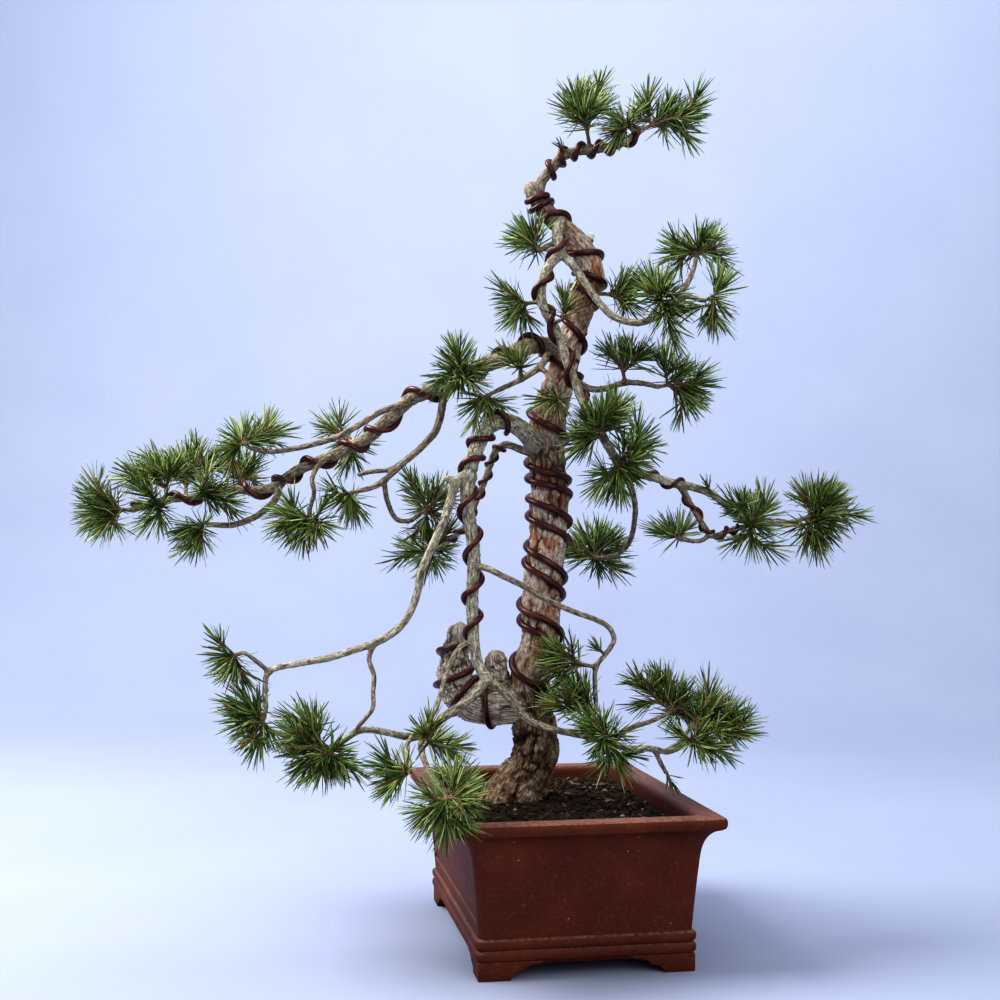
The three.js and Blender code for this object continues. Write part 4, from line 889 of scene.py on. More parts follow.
# Bark relief, in millimetres. Each way has its own stretch of the noise, and each row of noise is
# (how fine, how much).
WAY_APART = 37.0
ROUGH = ((0.55, 1.0), (1.3, 0.5))
LAYERS = ((0.15, 1.0), (0.36, 0.55), (0.85, 0.25))
LAYERS_PER_LEVEL = 3.2
LAYER_HEIGHT = 0.72
TORN_SHARE = 0.34
TORN_RISE = 0.3
TORN_DARKNESS = 0.6
CRACK_CELL = 0.13
CRACK_WIDTH = (0.2, 0.02)
CRACK_DEPTH = 1.3
CRACKED_PLACES = 0.07
CRACKED_OFFSET = Vector((7, 3, 1))
WARP_SCALE = 0.11
WARP_REACH = 2.6
PLATE_STRETCH = 0.38
DEAD_STRETCH = 0.22
FOOT_STRETCH = 0.3
FOOT_PLATES = 0.38
FOOT_RELIEF = 0.5
OLD_ROUGHNESS = 0.25
HARDLY_OLD = 0.02
# Young bark: how fine its flakes and the rings round a twig are, and how high each of them is
YOUNG_RADIUS = 5.5
FLAKE_SCALES = (0.5, 0.5, 0.28)
FLAKE_HEIGHT = 0.5
RING_SCALES = (0.42, 0.1, 0.5)
RING_HEIGHT = 0.35
RING_MIDDLE = 0.35
ROUGH_HEIGHT = 0.45
FURROW_GAIN = 1.6
FURROW_FROM = 0.35

Spur = collections.namedtuple("Spur", "foot end way fork tips")


def route_points(name):
    return sight([place[:3] for place in ROUTES[name]])


def route_radii(name):
    return np.array([place[3] for place in ROUTES[name]], float)


def spray_spur(spray):
    """A spray's spur: its foot and end, its way, the fork where its shoots start, and their tips,
    the one best in line first."""
    if "tip_of" in spray:
        foot, end = route_points(spray["tip_of"])[-2:]
    else:
        name, place = spray["leaves"]
        points = route_points(name)
        index = min(int(place), len(points) - 2)
        foot = points[index] + (points[index + 1] - points[index]) * (place - index)
        end = sight([spray["end"]])[0]
    tips = sight(spray["tips"])
    way = unit(end - foot)
    fork = end + way * STEM_LENGTH
    order = np.argsort(-(unit(tips - fork) @ way), kind="stable")
    return Spur(foot, end, way, fork, tips[order])


def wood_ways():
    """Every route and spur as (name, points, radii) in the tree's own millimetres."""
    ways = [(name, *smooth_way(route_points(name), route_radii(name), WOOD_STEP)) for name in ROUTES]
    for name, spur in SPURS.items():
        if "tip_of" not in SPRAYS[name]:
            radii = [SPUR_FOOT_RADIUS, SPUR_END_RADIUS]
            ways.append(("spur", *smooth_way([spur.foot, spur.end], radii, WOOD_STEP)))
    return ways


def chunks(spots):
    """Slices of places that lie close together, as index lists."""
    order = np.lexsort((spots[:, 0], np.round(spots[:, 2] / CHUNK_LAYER)))
    for first in range(0, len(order), CHUNK_SIZE):
        yield order[first:first + CHUNK_SIZE]


def settle_on_wood(ways, bars, spots):
    """Moves places onto the wood's skin, with a fillet where two ways meet, and reads off where on
    the wood each of them lies."""
    moved = spots.copy()
    facts = {name: np.zeros(len(spots)) for name in ("radius", "pale", "dead", "along", "turn")}
    looks = {
        "pale": np.array([PALE_BY_ROUTE.get(name, PALE_OTHERWISE) for name, _, _ in ways]),
        "dead": np.array([float(name in DEAD_ROUTES) for name, _, _ in ways]),
    }
    steps = bars.rows[:, 3:6] - bars.rows[:, :3]
    tangents = unit(steps)
    lengths = np.linalg.norm(steps, axis=1)
    across = np.concatenate([carried_frames(points)[0][:-1] for _, points, _ in ways])
    sides = np.cross(tangents, across)
    owners = np.array(bars.owners)
    travelled = np.cumsum(lengths) - lengths
    travelled += WAY_APART * owners - travelled[np.searchsorted(owners, owners)]
    for chosen in chunks(spots):
        places = moved[chosen]
        near = bars.near(places.min(0), places.max(0), WOOD_REACH)
        rows = np.arange(len(places))
        for _ in range(SETTLE_ROUNDS):
            gap, away, part, radius = away_from_bars(places, bars.rows[near])
            first = gap.argmin(1)
            others = np.where(owners[near] == owners[near][first][:, None], np.inf, gap)
            second = others.argmin(1)
            blend = np.clip(1 - (others[rows, second] - gap[rows, first]) / FORK_FILLET, 0, 1)[:, None]
            slope = unit(away[rows, first] * (1 - blend / 2) + away[rows, second] * (blend / 2))
            places = places - slope * (gap[rows, first][:, None] - FORK_FILLET * blend ** 2 / 4)
        moved[chosen] = places
        step = near[first]
        out = away[rows, first]
        facts["radius"][chosen] = radius[rows, first]
        facts["along"][chosen] = travelled[step] + part[rows, first] * lengths[step]
        facts["turn"][chosen] = np.arctan2(np.sum(out * sides[step], 1), np.sum(out * across[step], 1))
        mix = blend[:, 0] / 2
        for name, values in looks.items():
            facts[name][chosen] = values[owners[step]] * (1 - mix) + values[owners[near[second]]] * mix
    return moved, facts


def flaky_layers(plate):
    """Layers of flaky old bark at a place: their height in millimetres, and how near it is to the
    torn edge of a layer or to a crack."""
    layer, share = divmod(noises(plate, LAYERS) * LAYERS_PER_LEVEL, 1)
    torn = 1 - float(smoothstep(0.0, TORN_SHARE, share))
    nearest, next_nearest = noise.voronoi(plate * CRACK_CELL)[0][:2]
    here = float(smoothstep(-0.2, 0.2, noise.noise(plate * CRACKED_PLACES + CRACKED_OFFSET)))
    crack = here * float(smoothstep(*CRACK_WIDTH, next_nearest - nearest))
    height = (layer + float(smoothstep(0.0, TORN_RISE, share))) * LAYER_HEIGHT - CRACK_DEPTH * crack
    return height, max(crack, TORN_DARKNESS * torn)


def bark_relief(spots, facts):
    """Height of the bark in millimetres at each place, and how deep in a crack it is."""
    heights = np.zeros(len(spots))
    cracks = np.zeros(len(spots))
    columns = (spots, facts["turn"], facts["along"], facts["radius"], facts["dead"],
               smoothstep(*OLD_BARK, facts["radius"]), smoothstep(*FOOT_BARK, spots[:, 2]))
    for i, (spot, turn, along, radius, dead, age, low) in enumerate(zip(*columns)):
        place = Vector((math.cos(turn) * radius, math.sin(turn) * radius, along))
        rough = noises(Vector(spot), ROUGH)
        old_height = crack = 0.0
        if age > HARDLY_OLD or dead > 0.5:
            warp = noise.noise_vector(place * WARP_SCALE) * WARP_REACH
            stretch = DEAD_STRETCH if dead > 0.5 else PLATE_STRETCH + FOOT_STRETCH * low
            plate = Vector((place.x + warp.x, place.y + warp.y, (place.z + 2 * warp.z) * stretch))
            old_height, crack = flaky_layers(plate * (1 - FOOT_PLATES * low))
            old_height = old_height * (1 + FOOT_RELIEF * low) + OLD_ROUGHNESS * rough
        scale = min(radius / YOUNG_RADIUS, 1.0)
        ring = abs(noise.noise(scaled((along, radius, turn), RING_SCALES)))
        flake = noise.noise(scaled(place, FLAKE_SCALES))
        young_height = FLAKE_HEIGHT * flake + ROUGH_HEIGHT * rough + RING_HEIGHT * (RING_MIDDLE - ring)
        share = max(age, dead)
        heights[i] = share * old_height + (1 - share) * scale * young_height
        cracks[i] = share * crack + (1 - share) * max(0.0, -FURROW_GAIN * flake - FURROW_FROM)
    return heights, cracks


def build_wood(ways, bars):
    data = MeshData()
    for _, points, radii in ways:
        sides = THICK_SIDES if radii.max() > THICK_WAY else THIN_SIDES
        cap = unit(points[-1:] - points[-2:-1]) * radii[-1] * CAP_REACH
        closed = np.concatenate([points, points[-1:] + cap])
        data.tube(closed, np.append(radii, radii[-1] * CAP_RADIUS), sides)
    piece = data.build("wood_bark", [])
    modified(piece, "REMESH", mode="VOXEL", voxel_size=WOOD_VOXEL)
    mesh = piece.data
    spots, facts = settle_on_wood(ways, bars, vectors_of(mesh.vertices, "co"))
    heights, cracks = bark_relief(spots, facts)
    mesh.vertices.foreach_set("co", spots.ravel())
    mesh.update()
    spots = spots + vectors_of(mesh.vertex_normals, "vector") * heights[:, None]
    mesh.vertices.foreach_set("co", to_frame(spots).ravel())
    turn, reach = facts["turn"], facts["radius"]
    from_cut = np.linalg.norm(spots - route_points(CUT_ROUTE)[-1], axis=1)
    values = {
        "old": smoothstep(*OLD_BARK, reach),
        "pale": facts["pale"],
        "dead": facts["dead"],
        "crack": np.clip(cracks, 0, 1),
        "height": heights,
        "low": smoothstep(*FOOT_BARK, spots[:, 2]),
        "cut": smoothstep(*CUT_REACH, from_cut),
        "bark_place": np.column_stack([np.cos(turn) * reach, np.sin(turn) * reach, facts["along"]]),
    }
    for name, value in values.items():
        set_values(mesh, name, value)
    mesh.shade_smooth()
    mesh.update()
    mesh.materials.append(bark_material())
    modified(piece, "DECIMATE", ratio=BARK_KEPT)
    dress(piece, ["wood"])


# Wires: round copper-red bars wound on the wood, pressed a little into the bark
WIRE_STEPS_PER_TURN = 22
WIRE_SIDES = 12
WIRE_BITE = 0.35
WIRE_ROUNDS = 40
WIRE_NEAR = 4
WIRE_ENDS = (0.3, 0.86)
SLOPE_STEP = 0.05


def wire_helix(wire):
    points = np.concatenate([route_points(name)[first:last + 1] for name, first, last in wire["along"]])
    radii = np.concatenate([route_radii(name)[first:last + 1] for name, first, last in wire["along"]])
    passes, lead = np.array(wire["passes"], float), wire["lead"]
    turn_count = len(passes) - 1 + lead + wire["tail"]
    turns = np.linspace(-lead, turn_count - lead, round(turn_count * WIRE_STEPS_PER_TURN) + 1)
    index = np.clip(np.floor(turns).astype(int), 0, len(passes) - 2)
    places = passes[index] + (passes[index + 1] - passes[index]) * (turns - index)
    tangents = unit(curve_at(points, places + SLOPE_STEP) - curve_at(points, places - SLOPE_STEP))
    front = unit(np.array([0.0, -1.0, 0.0]) + tangents * tangents[:, 1:2])
    reach = np.interp(places, np.arange(len(radii)), radii) + wire["gauge"] - WIRE_BITE
    angles = wire["hand"] * turns[:, None] * FULL_TURN
    outward = np.cos(angles) * front + np.sin(angles) * np.cross(tangents, front)
    return curve_at(points, places) + reach[:, None] * outward


def softened(values):
    values[1:-1] = (values[:-2] + 2 * values[1:-1] + values[2:]) / 4
    return values


def wire_path(wire, bars):
    """The helix, pushed out of the wood a little at a time and kept smooth."""
    points = wire_helix(wire)
    near = bars.rows[bars.near(points.min(0) - WIRE_NEAR, points.max(0) + WIRE_NEAR)]
    numbers = np.arange(len(points))
    for _ in range(WIRE_ROUNDS):
        gap, away, _, _ = away_from_bars(points, near)
        nearest = gap.argmin(1)
        lack = np.maximum(wire["gauge"] - WIRE_BITE - gap[numbers, nearest], 0)
        points = points + softened(softened(away[numbers, nearest] * lack[:, None]))
    return points


def build_wire(name, wire, path, material):
    reach, share = WIRE_ENDS
    ends = unit(np.array([path[0] - path[1], path[-1] - path[-2]])) * wire["gauge"] * reach
    points = np.concatenate([path[:1] + ends[:1], path, path[-1:] + ends[1:]])
    radii = np.full(len(points), float(wire["gauge"]))
    radii[[0, -1]] *= share
    data = MeshData()
    data.tube(to_frame(points), radii * MM, WIRE_SIDES)
    dress(data.build(f"{name}_bar", [material]), [name])


# Needles: every shoot is a scarred twig with pairs of needles along its young end and a bud
PAIRS_PER_SHOOT = 22
PAIRS_PER_SIDE_SHOOT = 16
PAIRS_PER_TWIGLET = 10
NEEDLE_LENGTH = 26
NEEDLE_SHORTEST = 0.74
NEEDLE_SPREAD = 0.36
NEEDLE_SHARES = (1.0, 0.8, 0.6, 0.45)
NEEDLE_WIDTH = 1.4
NEEDLE_BEND = 0.035
NEEDLE_CLEAR = 0.3
NEEDLE_REACH = 0.45
NEEDLE_CHECKS = np.linspace(0.12, 1, 7)
WIDTH_JITTER = (0.85, 1.1)
BEND_JITTER = (0.3, 1.6)
ROOT_DEPTH = 0.75
BAND_LENGTH = 32
BAND_SHARE = 0.9
BAND_CROWDING = 0.7
BOX_CLEAR = 0.0005
POT_CLEAR = 1
LEAN_LOW = 1.0
LEAN_TIP = 0.2
LEAN_JITTER = 0.3
ANGLE_JITTER = 0.25
SPLIT_LOW = 0.3
SPLIT_TIP = 0.17
PAIR_APART = 0.35
PAIR_TWIST = 0.9
PAIR_SPLIT = (0.7, 1.2)
PAIR_LENGTHS = (0.94, 1.0)
DROOP = 0.05
SIDE_TIP_REACH = 44
SIDE_TIP_SHARE = 0.92
TWIGLET_START = 3
TWIGLET_EVERY = 8
TWIGLET_LENGTH = (10, 20)
TWIGLET_LEAN = 0.95
TWIGLET_JITTER = 0.2
TWIGLET_NEEDLE = 0.88
TWIGLET_RADIUS = 0.95
TWIGLET_RISE = 0.2
TWIGLET_CHECKS = np.linspace(0.35, 1.25, 5)[:, None]
# Little tufts of short needles that grow from the wood beside a spray: foot and tip of each
LITTLE_TUFTS = {
    "apex_up": [((567, 154, -10), (560, 146, -17))],
    "right_end": [((711, 495, -33), (707, 485, -41))],
    "low_right_left": [((604, 654, -52), (596, 647, -55))],
    "low_right_star": [((666, 771, -69), (671, 784, -71))],
}
LITTLE_PAIRS = 8
LITTLE_NEEDLE = 0.5
GOLDEN_ANGLE = math.pi * (3 - math.sqrt(5))
CORE_RADIUS = 1.35
CORE_SIDES = 8
SCAR_EVERY = 1.6
SCAR_HEIGHT = 0.12
SCAR_JITTER = 0.06
SHOOT_FOOT_RADIUS = 1.0
SHOOT_FOOT_STEP = 0.6
STEM_FOOT_RADIUS = 1.6
STEM_OVERLAP = (0.8, 1.2)
FORK_RADIUS = 1.8
# A bud's rings as (share of its length, radius), and how thick it is on a shoot and on a twiglet
BUD_LENGTH = 4.5
BUD_RINGS = np.array([(0, 1.0), (0.25, 1.15), (0.5, 1.05), (0.75, 0.7), (0.93, 0.3), (1, 0.08)])
BUD_SIZE = 1.15
TWIGLET_BUD_SIZE = 0.8
# A needle's rings as shares of its length and its width, its cross-section and its faces
NEEDLE_RINGS = ((0.0, 0.6), (0.1, 1.0), (0.62, 0.95), (0.9, 0.5))
NEEDLE_SECTION = ((-0.5, 0.0), (0.0, 0.3), (0.5, 0.0))
NEEDLE_ALONG = [place for place, _ in NEEDLE_RINGS for _ in NEEDLE_SECTION] + [1.0]
NEEDLE_FACES = ring_faces(len(NEEDLE_RINGS), 3) + [(9, 10, 12), (10, 11, 12), (11, 9, 12), (0, 2, 1)]


def needle_ways(fork, tip, pairs, random_source):
    """Roots, directions and lengths of a shoot's needles, two to each pair."""
    axis = unit(tip - fork)
    band = min(BAND_LENGTH, np.linalg.norm(tip - fork) * BAND_SHARE)
    outward_at = outward_from(axis, [0.3, 0.5, 0.81])
    start = random_source.uniform(0, FULL_TURN)
    roots, ways, lengths = [], [], []
    for i in range(pairs):
        share = ((i + 0.5) / pairs) ** BAND_CROWDING
        outward = outward_at(start + i * GOLDEN_ANGLE + random_source.uniform(-ANGLE_JITTER, ANGLE_JITTER))
        around = np.cross(axis, outward)
        lean = LEAN_LOW + (LEAN_TIP - LEAN_LOW) * share + random_source.uniform(-LEAN_JITTER, LEAN_JITTER)
        way = math.cos(lean) * axis + math.sin(lean) * outward
        root = tip - axis * band * (1 - share) + outward * CORE_RADIUS * ROOT_DEPTH
        turn = random_source.uniform(-PAIR_TWIST, PAIR_TWIST)
        apart = math.cos(turn) * around + math.sin(turn) * np.cross(way, around)
        full = NEEDLE_LENGTH * (NEEDLE_SHORTEST + NEEDLE_SPREAD * random_source.random())
        for sign in (-1, 1):
            spread = (SPLIT_LOW + (SPLIT_TIP - SPLIT_LOW) * share) * random_source.uniform(*PAIR_SPLIT)
            roots.append(root + apart * sign * PAIR_APART)
            ways.append(unit(way + apart * sign * spread))
            lengths.append(full * random_source.uniform(*PAIR_LENGTHS))
    return np.array(roots), np.array(ways), np.array(lengths)


def clear_lengths(roots, ways, lengths, near):
    """The longest share of each needle that keeps clear of the bars near it and of the pot, and
    stays inside the box of the solids, or nothing."""
    found = np.zeros(len(roots))
    for share in NEEDLE_SHARES:
        reach = lengths * share
        spots = (roots[:, None] + ways[:, None] * (reach[:, None] * NEEDLE_CHECKS)[..., None]).reshape(-1, 3)
        framed = to_frame(spots)
        clear = ((framed > BOX_LOW + BOX_CLEAR) & (framed < BOX_HIGH - BOX_CLEAR)).all(1)
        local = np.abs(framed - POT_CENTRE) / MM
        clear &= (local > np.array([POT_WIDTH / 2, POT_LENGTH / 2, POT_HEIGHT]) + POT_CLEAR).any(1)
        if len(near):
            clear &= away_from_bars(spots, near)[0].min(1) > NEEDLE_CLEAR + NEEDLE_REACH
        clear = clear.reshape(len(roots), -1).all(1)
        found = np.where((found == 0) & clear, reach, found)
    return found


def add_needle(data, root, way, length, random_source):
    """One closed needle with a flat inner side and a keeled outer side, bent a little."""
    flat = unit(np.cross(way, [random_source.uniform(-1, 1) for _ in range(3)]))
    keel = np.cross(way, flat)
    bend = keel * random_source.uniform(*BEND_JITTER) - UP * DROOP * random_source.uniform(0, 1)
    width = NEEDLE_WIDTH * random_source.uniform(*WIDTH_JITTER)
    points = []
    for place, share in NEEDLE_RINGS:
        centre = root + way * length * place + bend * length * NEEDLE_BEND * place * place
        points += [centre + (flat * x + keel * y) * width * share for x, y in NEEDLE_SECTION]
    points.append(root + way * length + bend * length * NEEDLE_BEND)
    data.add(to_frame(points), NEEDLE_FACES, 0, along=NEEDLE_ALONG, tone=random_source.random())


def twiglets(fork, tip, near, random_source):
    """Starts and tips of the short twigs that leave a shoot on all sides, where they are clear."""
    axis = unit(tip - fork)
    outward_at = outward_from(axis, [0.8, 0.1, 0.6])
    start = random_source.uniform(0, FULL_TURN)
    found = []
    for i in range(max(1, round((np.linalg.norm(tip - fork) - 2 * TWIGLET_START) / TWIGLET_EVERY))):
        foot = fork + axis * (TWIGLET_START + (i + random_source.random()) * TWIGLET_EVERY)
        lean = TWIGLET_LEAN + random_source.uniform(-TWIGLET_JITTER, TWIGLET_JITTER)
        outward = outward_at(start + i * GOLDEN_ANGLE)
        way = unit(math.cos(lean) * axis + math.sin(lean) * outward + UP * TWIGLET_RISE)
        end = foot + way * random_source.uniform(*TWIGLET_LENGTH)
        spots = foot + (end - foot) * TWIGLET_CHECKS
        if not len(near) or away_from_bars(spots, near)[0].min() > TWIGLET_RADIUS + NEEDLE_CLEAR:
            found.append((foot, end))
    return found


def add_shoot_twig(data, feet, tip, random_source):
    """The shoot's own twig: from its feet to its tip, with the scars of old needles, and its bud."""
    fork, foot_radius = feet[-1]
    axis = unit(tip - fork)
    length = np.linalg.norm(tip - fork)
    count = max(4, round(length / SCAR_EVERY))
    points = [foot for foot, _ in feet] + [fork + axis * length * (i + 1) / count for i in range(count)]
    radii = [radius for _, radius in feet]
    radii += [CORE_RADIUS * (1 + SCAR_HEIGHT * (-1) ** i + random_source.uniform(-SCAR_JITTER, SCAR_JITTER))
              for i in range(count)]
    data.tube(to_frame(points), np.array(radii) * MM, CORE_SIDES, 1,
              along=np.linspace(0, 1, len(points)), tone=random_source.random())
    places, sizes = BUD_RINGS.T
    size = BUD_SIZE if foot_radius >= SHOOT_FOOT_RADIUS else TWIGLET_BUD_SIZE
    data.tube(to_frame(tip + axis * places[:, None] * BUD_LENGTH), sizes * size * MM, CORE_SIDES, 2,
              along=places, tone=random_source.random())


def shoot_feet(spur, i):
    """Centres and radii where a shoot starts: the first one carries the stem on from the wood, and
    the others start inside it, one below the other."""
    if i > 0:
        return [(spur.fork - spur.way * SHOOT_FOOT_STEP * (i - 1), SHOOT_FOOT_RADIUS)]
    back, ahead = STEM_OVERLAP
    return [(spur.end - spur.way * back, STEM_FOOT_RADIUS), (spur.end + spur.way * ahead, STEM_FOOT_RADIUS),
            (spur.fork, FORK_RADIUS)]


def side_tips(fork, tips):
    """Tips of the lesser shoots that fill a spray between its main ones."""
    return [fork + ((first + second) / 2 - fork) * SIDE_TIP_SHARE
            for first, second in itertools.combinations(tips, 2)
            if np.linalg.norm(first - second) < SIDE_TIP_REACH]


def add_needles(data, fork, tip, pairs, share, near, random_source):
    """A shoot's needles, each as long as it can be without touching anything."""
    roots, ways, lengths = needle_ways(fork, tip, pairs, random_source)
    for root, way, length in zip(roots, ways, clear_lengths(roots, ways, lengths * share, near)):
        if length > 0:
            add_needle(data, root, way, length, random_source)


def rows_near(bars, first, second, margin, owner=None):
    """The bars within a margin of the box round two places, without the owner's."""
    return bars.rows[bars.near(np.minimum(first, second), np.maximum(first, second), margin, owner)]


def build_spray(name, spur, bars, seed, materials):
    random_source = random.Random(seed)
    data = MeshData()
    fork = spur.fork
    for i, tip in enumerate([*spur.tips, *side_tips(fork, spur.tips)]):
        add_shoot_twig(data, shoot_feet(spur, i), tip, random_source)
        near = rows_near(bars, fork, tip, 2 * NEEDLE_LENGTH, f"{name} {i}")
        main = i < len(spur.tips)
        pairs = PAIRS_PER_SHOOT if main else PAIRS_PER_SIDE_SHOOT
        add_needles(data, fork, tip, pairs, 1.0, near, random_source)
        for start, top in twiglets(fork, tip, near, random_source) if main else ():
            add_shoot_twig(data, [(start, TWIGLET_RADIUS)], top, random_source)
            add_needles(data, start, top, PAIRS_PER_TWIGLET, TWIGLET_NEEDLE, near, random_source)
    for place in LITTLE_TUFTS.get(name, ()):
        start, top = sight(place)
        near = rows_near(bars, start, top, NEEDLE_LENGTH)
        add_shoot_twig(data, [(start, TWIGLET_RADIUS)], top, random_source)
        add_needles(data, start, top, LITTLE_PAIRS, LITTLE_NEEDLE, near, random_source)
    dress(data.build(f"{name}_needles", materials), [f"needles_{name}"])


# Pot: a stack of rounded rectangles. Each stretch of its profile is a smooth run of (inset from
# the rim, height), and the stretches meet in edges.
CORNERS = ((1, 1), (-1, 1), (-1, -1), (1, -1))
CORNER_STEPS = 10
CORNER_COLUMNS = 5
COLUMN_WIDTH = 6.0
PROFILE_STEP = 2.0
BASE = (23, BASE_HEIGHT)
BEAD_GROOVE = (22.4, 23.5)
WALL_FOOT = (23, 32.5)
WALL_TOP = (17.8, 90)
OUTER_INSET = 25
PANEL_DEPTH = 1.6
PANEL_BEVEL = 1.4
PANEL_LOW = 43
PANEL_HIGH = 89
PANEL_BORDER = POT_LENGTH / 2 - 31
ROUNDING_Y = POT_LENGTH / 2 - CORNER_RADIUS
POT_WAVE = 0.35
POT_WAVE_SCALE = 0.02
DRAIN_RADIUS = 11
DRAIN_PLACE = 62
SHARP_EDGE = math.radians(32)
# One corner foot, seen from a side: (along the side from the corner, height)
FOOT_INSET = 22
FOOT_LENGTH = 52
FOOT_BEVEL = 0.9
FOOT_BEVEL_EDGE = math.radians(25)
FOOT_OVERLAP = 0.02
FOOT_OUTLINE = (
    (0, 0), (26, 0), (27, 3.5), (30.5, 6), (35.5, 6.5), (37.5, 9), (42, 11), (51, 12),
    (FOOT_LENGTH, BASE_HEIGHT), (0, BASE_HEIGHT),
)


def bead(foot, top):
    """A stretch that swells out in a bead between two places."""
    low = foot[1]
    return foot, (20.8, low + 1.5), (20.1, low + 4.5), (20.8, low + 7.5), top


POT_STRETCHES = (
    ((24.5, 12), BASE),
    bead(BASE, BEAD_GROOVE),
    bead(BEAD_GROOVE, WALL_FOOT),
    (WALL_FOOT, (20.8, 60), WALL_TOP, (16.4, 99), (14.2, 105.5), (11, 110.5), (7.5, 113.5), (3, 115.3)),
    ((3, 115.3), (1.2, 116.5), (0.4, 118.6), (0.4, 122.3), (1.3, 124.2), (3, POT_HEIGHT)),
    ((3, POT_HEIGHT), (11, POT_HEIGHT), (19, POT_HEIGHT)),
    ((19, POT_HEIGHT), (20.5, 124), (22.5, 121), (25, 108), (27.5, 90), (31, 30), (33, FLOOR_TOP)),
)


def rim_outline():
    """Places once round the pot, as (share of the width, place along the length, outward x and y).
    A corner's share or place is at its end, and it is rounded outwards from there."""
    outline = []
    for corner, (sign_x, sign_y) in enumerate(CORNERS):
        for step in range(CORNER_STEPS):
            angle = (corner + step / (CORNER_STEPS - 1)) * math.pi / 2
            outline.append((sign_x, sign_y * ROUNDING_Y, math.cos(angle), math.sin(angle)))
        if corner % 2 == 0:
            shares = np.linspace(1, -1, round(POT_WIDTH / COLUMN_WIDTH) + 1)[1:-1]
            outline += [(sign_x * share, sign_y * ROUNDING_Y, 0.0, sign_y) for share in shares]
        else:
            ends = np.linspace(ROUNDING_Y, PANEL_BORDER, CORNER_COLUMNS)[1:]
            flat = PANEL_BORDER - PANEL_BEVEL
            inner = np.linspace(flat, -flat, round(2 * PANEL_BORDER / COLUMN_WIDTH))
            outline += [(sign_x, sign_y * y, sign_x, 0.0) for y in [*ends, *inner, *-ends[::-1]]]
    return np.array(outline)


def outline_place(share, along, out_x, out_y, inset):
    """A place of the outline, moved in by an inset. Beyond the long side's field the places along
    it draw together, and the corners stay as round as they are."""
    beyond = max(abs(along) - PANEL_BORDER, 0.0)
    squeeze = (ROUNDING_Y - inset - PANEL_BORDER) / (ROUNDING_Y - PANEL_BORDER)
    y = min(abs(along), PANEL_BORDER) + beyond * squeeze
    x = share * (POT_WIDTH / 2 - CORNER_RADIUS - inset)
    return x + CORNER_RADIUS * out_x, math.copysign(y, along) + CORNER_RADIUS * out_y


def panel_depth(y, height):
    """How deep the field on a long side is at a place, with bevelled borders."""
    edge = min(PANEL_BORDER - abs(y), height - PANEL_LOW, PANEL_HIGH - height)
    return PANEL_DEPTH * min(max(edge / PANEL_BEVEL, 0.0), 1.0)


def profile_rings():
    """The pot's profile as (inset, height), with rings along the panel's borders."""
    rings = []
    for stretch in POT_STRETCHES:
        spots, _ = smooth_way(stretch, np.zeros(len(stretch)), PROFILE_STEP)
        rings.extend((inset, height) for inset, height in (spots if not rings else spots[1:]))
    outside = [ring for ring in rings if ring[0] < OUTER_INSET]
    insets, heights = zip(*[ring for ring in outside if WALL_FOOT[1] < ring[1] < WALL_TOP[1]])
    for height in (PANEL_LOW, PANEL_LOW + PANEL_BEVEL, PANEL_HIGH - PANEL_BEVEL, PANEL_HIGH):
        below = [i for i, ring in enumerate(rings) if ring[0] < OUTER_INSET and ring[1] < height]
        rings.insert(max(below) + 1, (float(np.interp(height, heights, insets)), height))
    return rings


def build_pot(material):
    outline = rim_outline()
    rings = profile_rings()
    count = len(outline)
    points = []
    for inset, height in rings:
        for share, along, out_x, out_y in outline:
            x, y = outline_place(share, along, out_x, out_y, inset)
            wave = POT_WAVE * noise.noise(Vector((x, y, height)) * POT_WAVE_SCALE)
            if height < WALL_TOP[1] and inset < OUTER_INSET and abs(out_x) == 1:
                wave -= panel_depth(y, height)
            points.append((x + out_x * wave, y + out_y * wave, height))
    top = len(points)
    last = top - count
    points.extend([(0, 0, FLOOR_TOP), (0, 0, rings[0][1])])
    faces = ring_faces(len(rings), count)
    for side in range(count):
        after = (side + 1) % count
        faces += [(last + side, last + after, top), (after, side, top + 1)]
    data = MeshData()
    data.add(points, faces)
    piece = data.build("clay_pot", [material])
    for signs in CORNERS:
        combine(piece, pot_foot(*signs, material), "UNION")
    for sign in (1, -1):
        combine(piece, drain_plug(sign, material), "DIFFERENCE")
    piece.data.transform(POT_PLACING)
    with edited(piece.data) as shape:
        for face in shape.faces:
            face.smooth = True
        for edge in shape.edges:
            edge.smooth = len(edge.link_faces) == 2 and edge.calc_face_angle(0) < SHARP_EDGE
    dress(piece, ["pot"])


def combine(piece, other, operation):
    modified(piece, "BOOLEAN", object=other, operation=operation, solver="MANIFOLD")
    bpy.data.objects.remove(other)


def loose_object(shape, material):
    mesh = bpy.data.meshes.new("cutter")
    mesh.materials.append(material)
    shape.to_mesh(mesh)
    shape.free()
    return linked("cutter", mesh)


def drain_plug(sign, material):
    shape = bmesh.new()
    bmesh.ops.create_cone(shape, cap_ends=True, segments=40, radius1=DRAIN_RADIUS, radius2=DRAIN_RADIUS,
                          depth=2 * FLOOR_TOP,
                          matrix=Matrix.Translation((0, sign * DRAIN_PLACE, FLOOR_TOP)))
    return loose_object(shape, material)


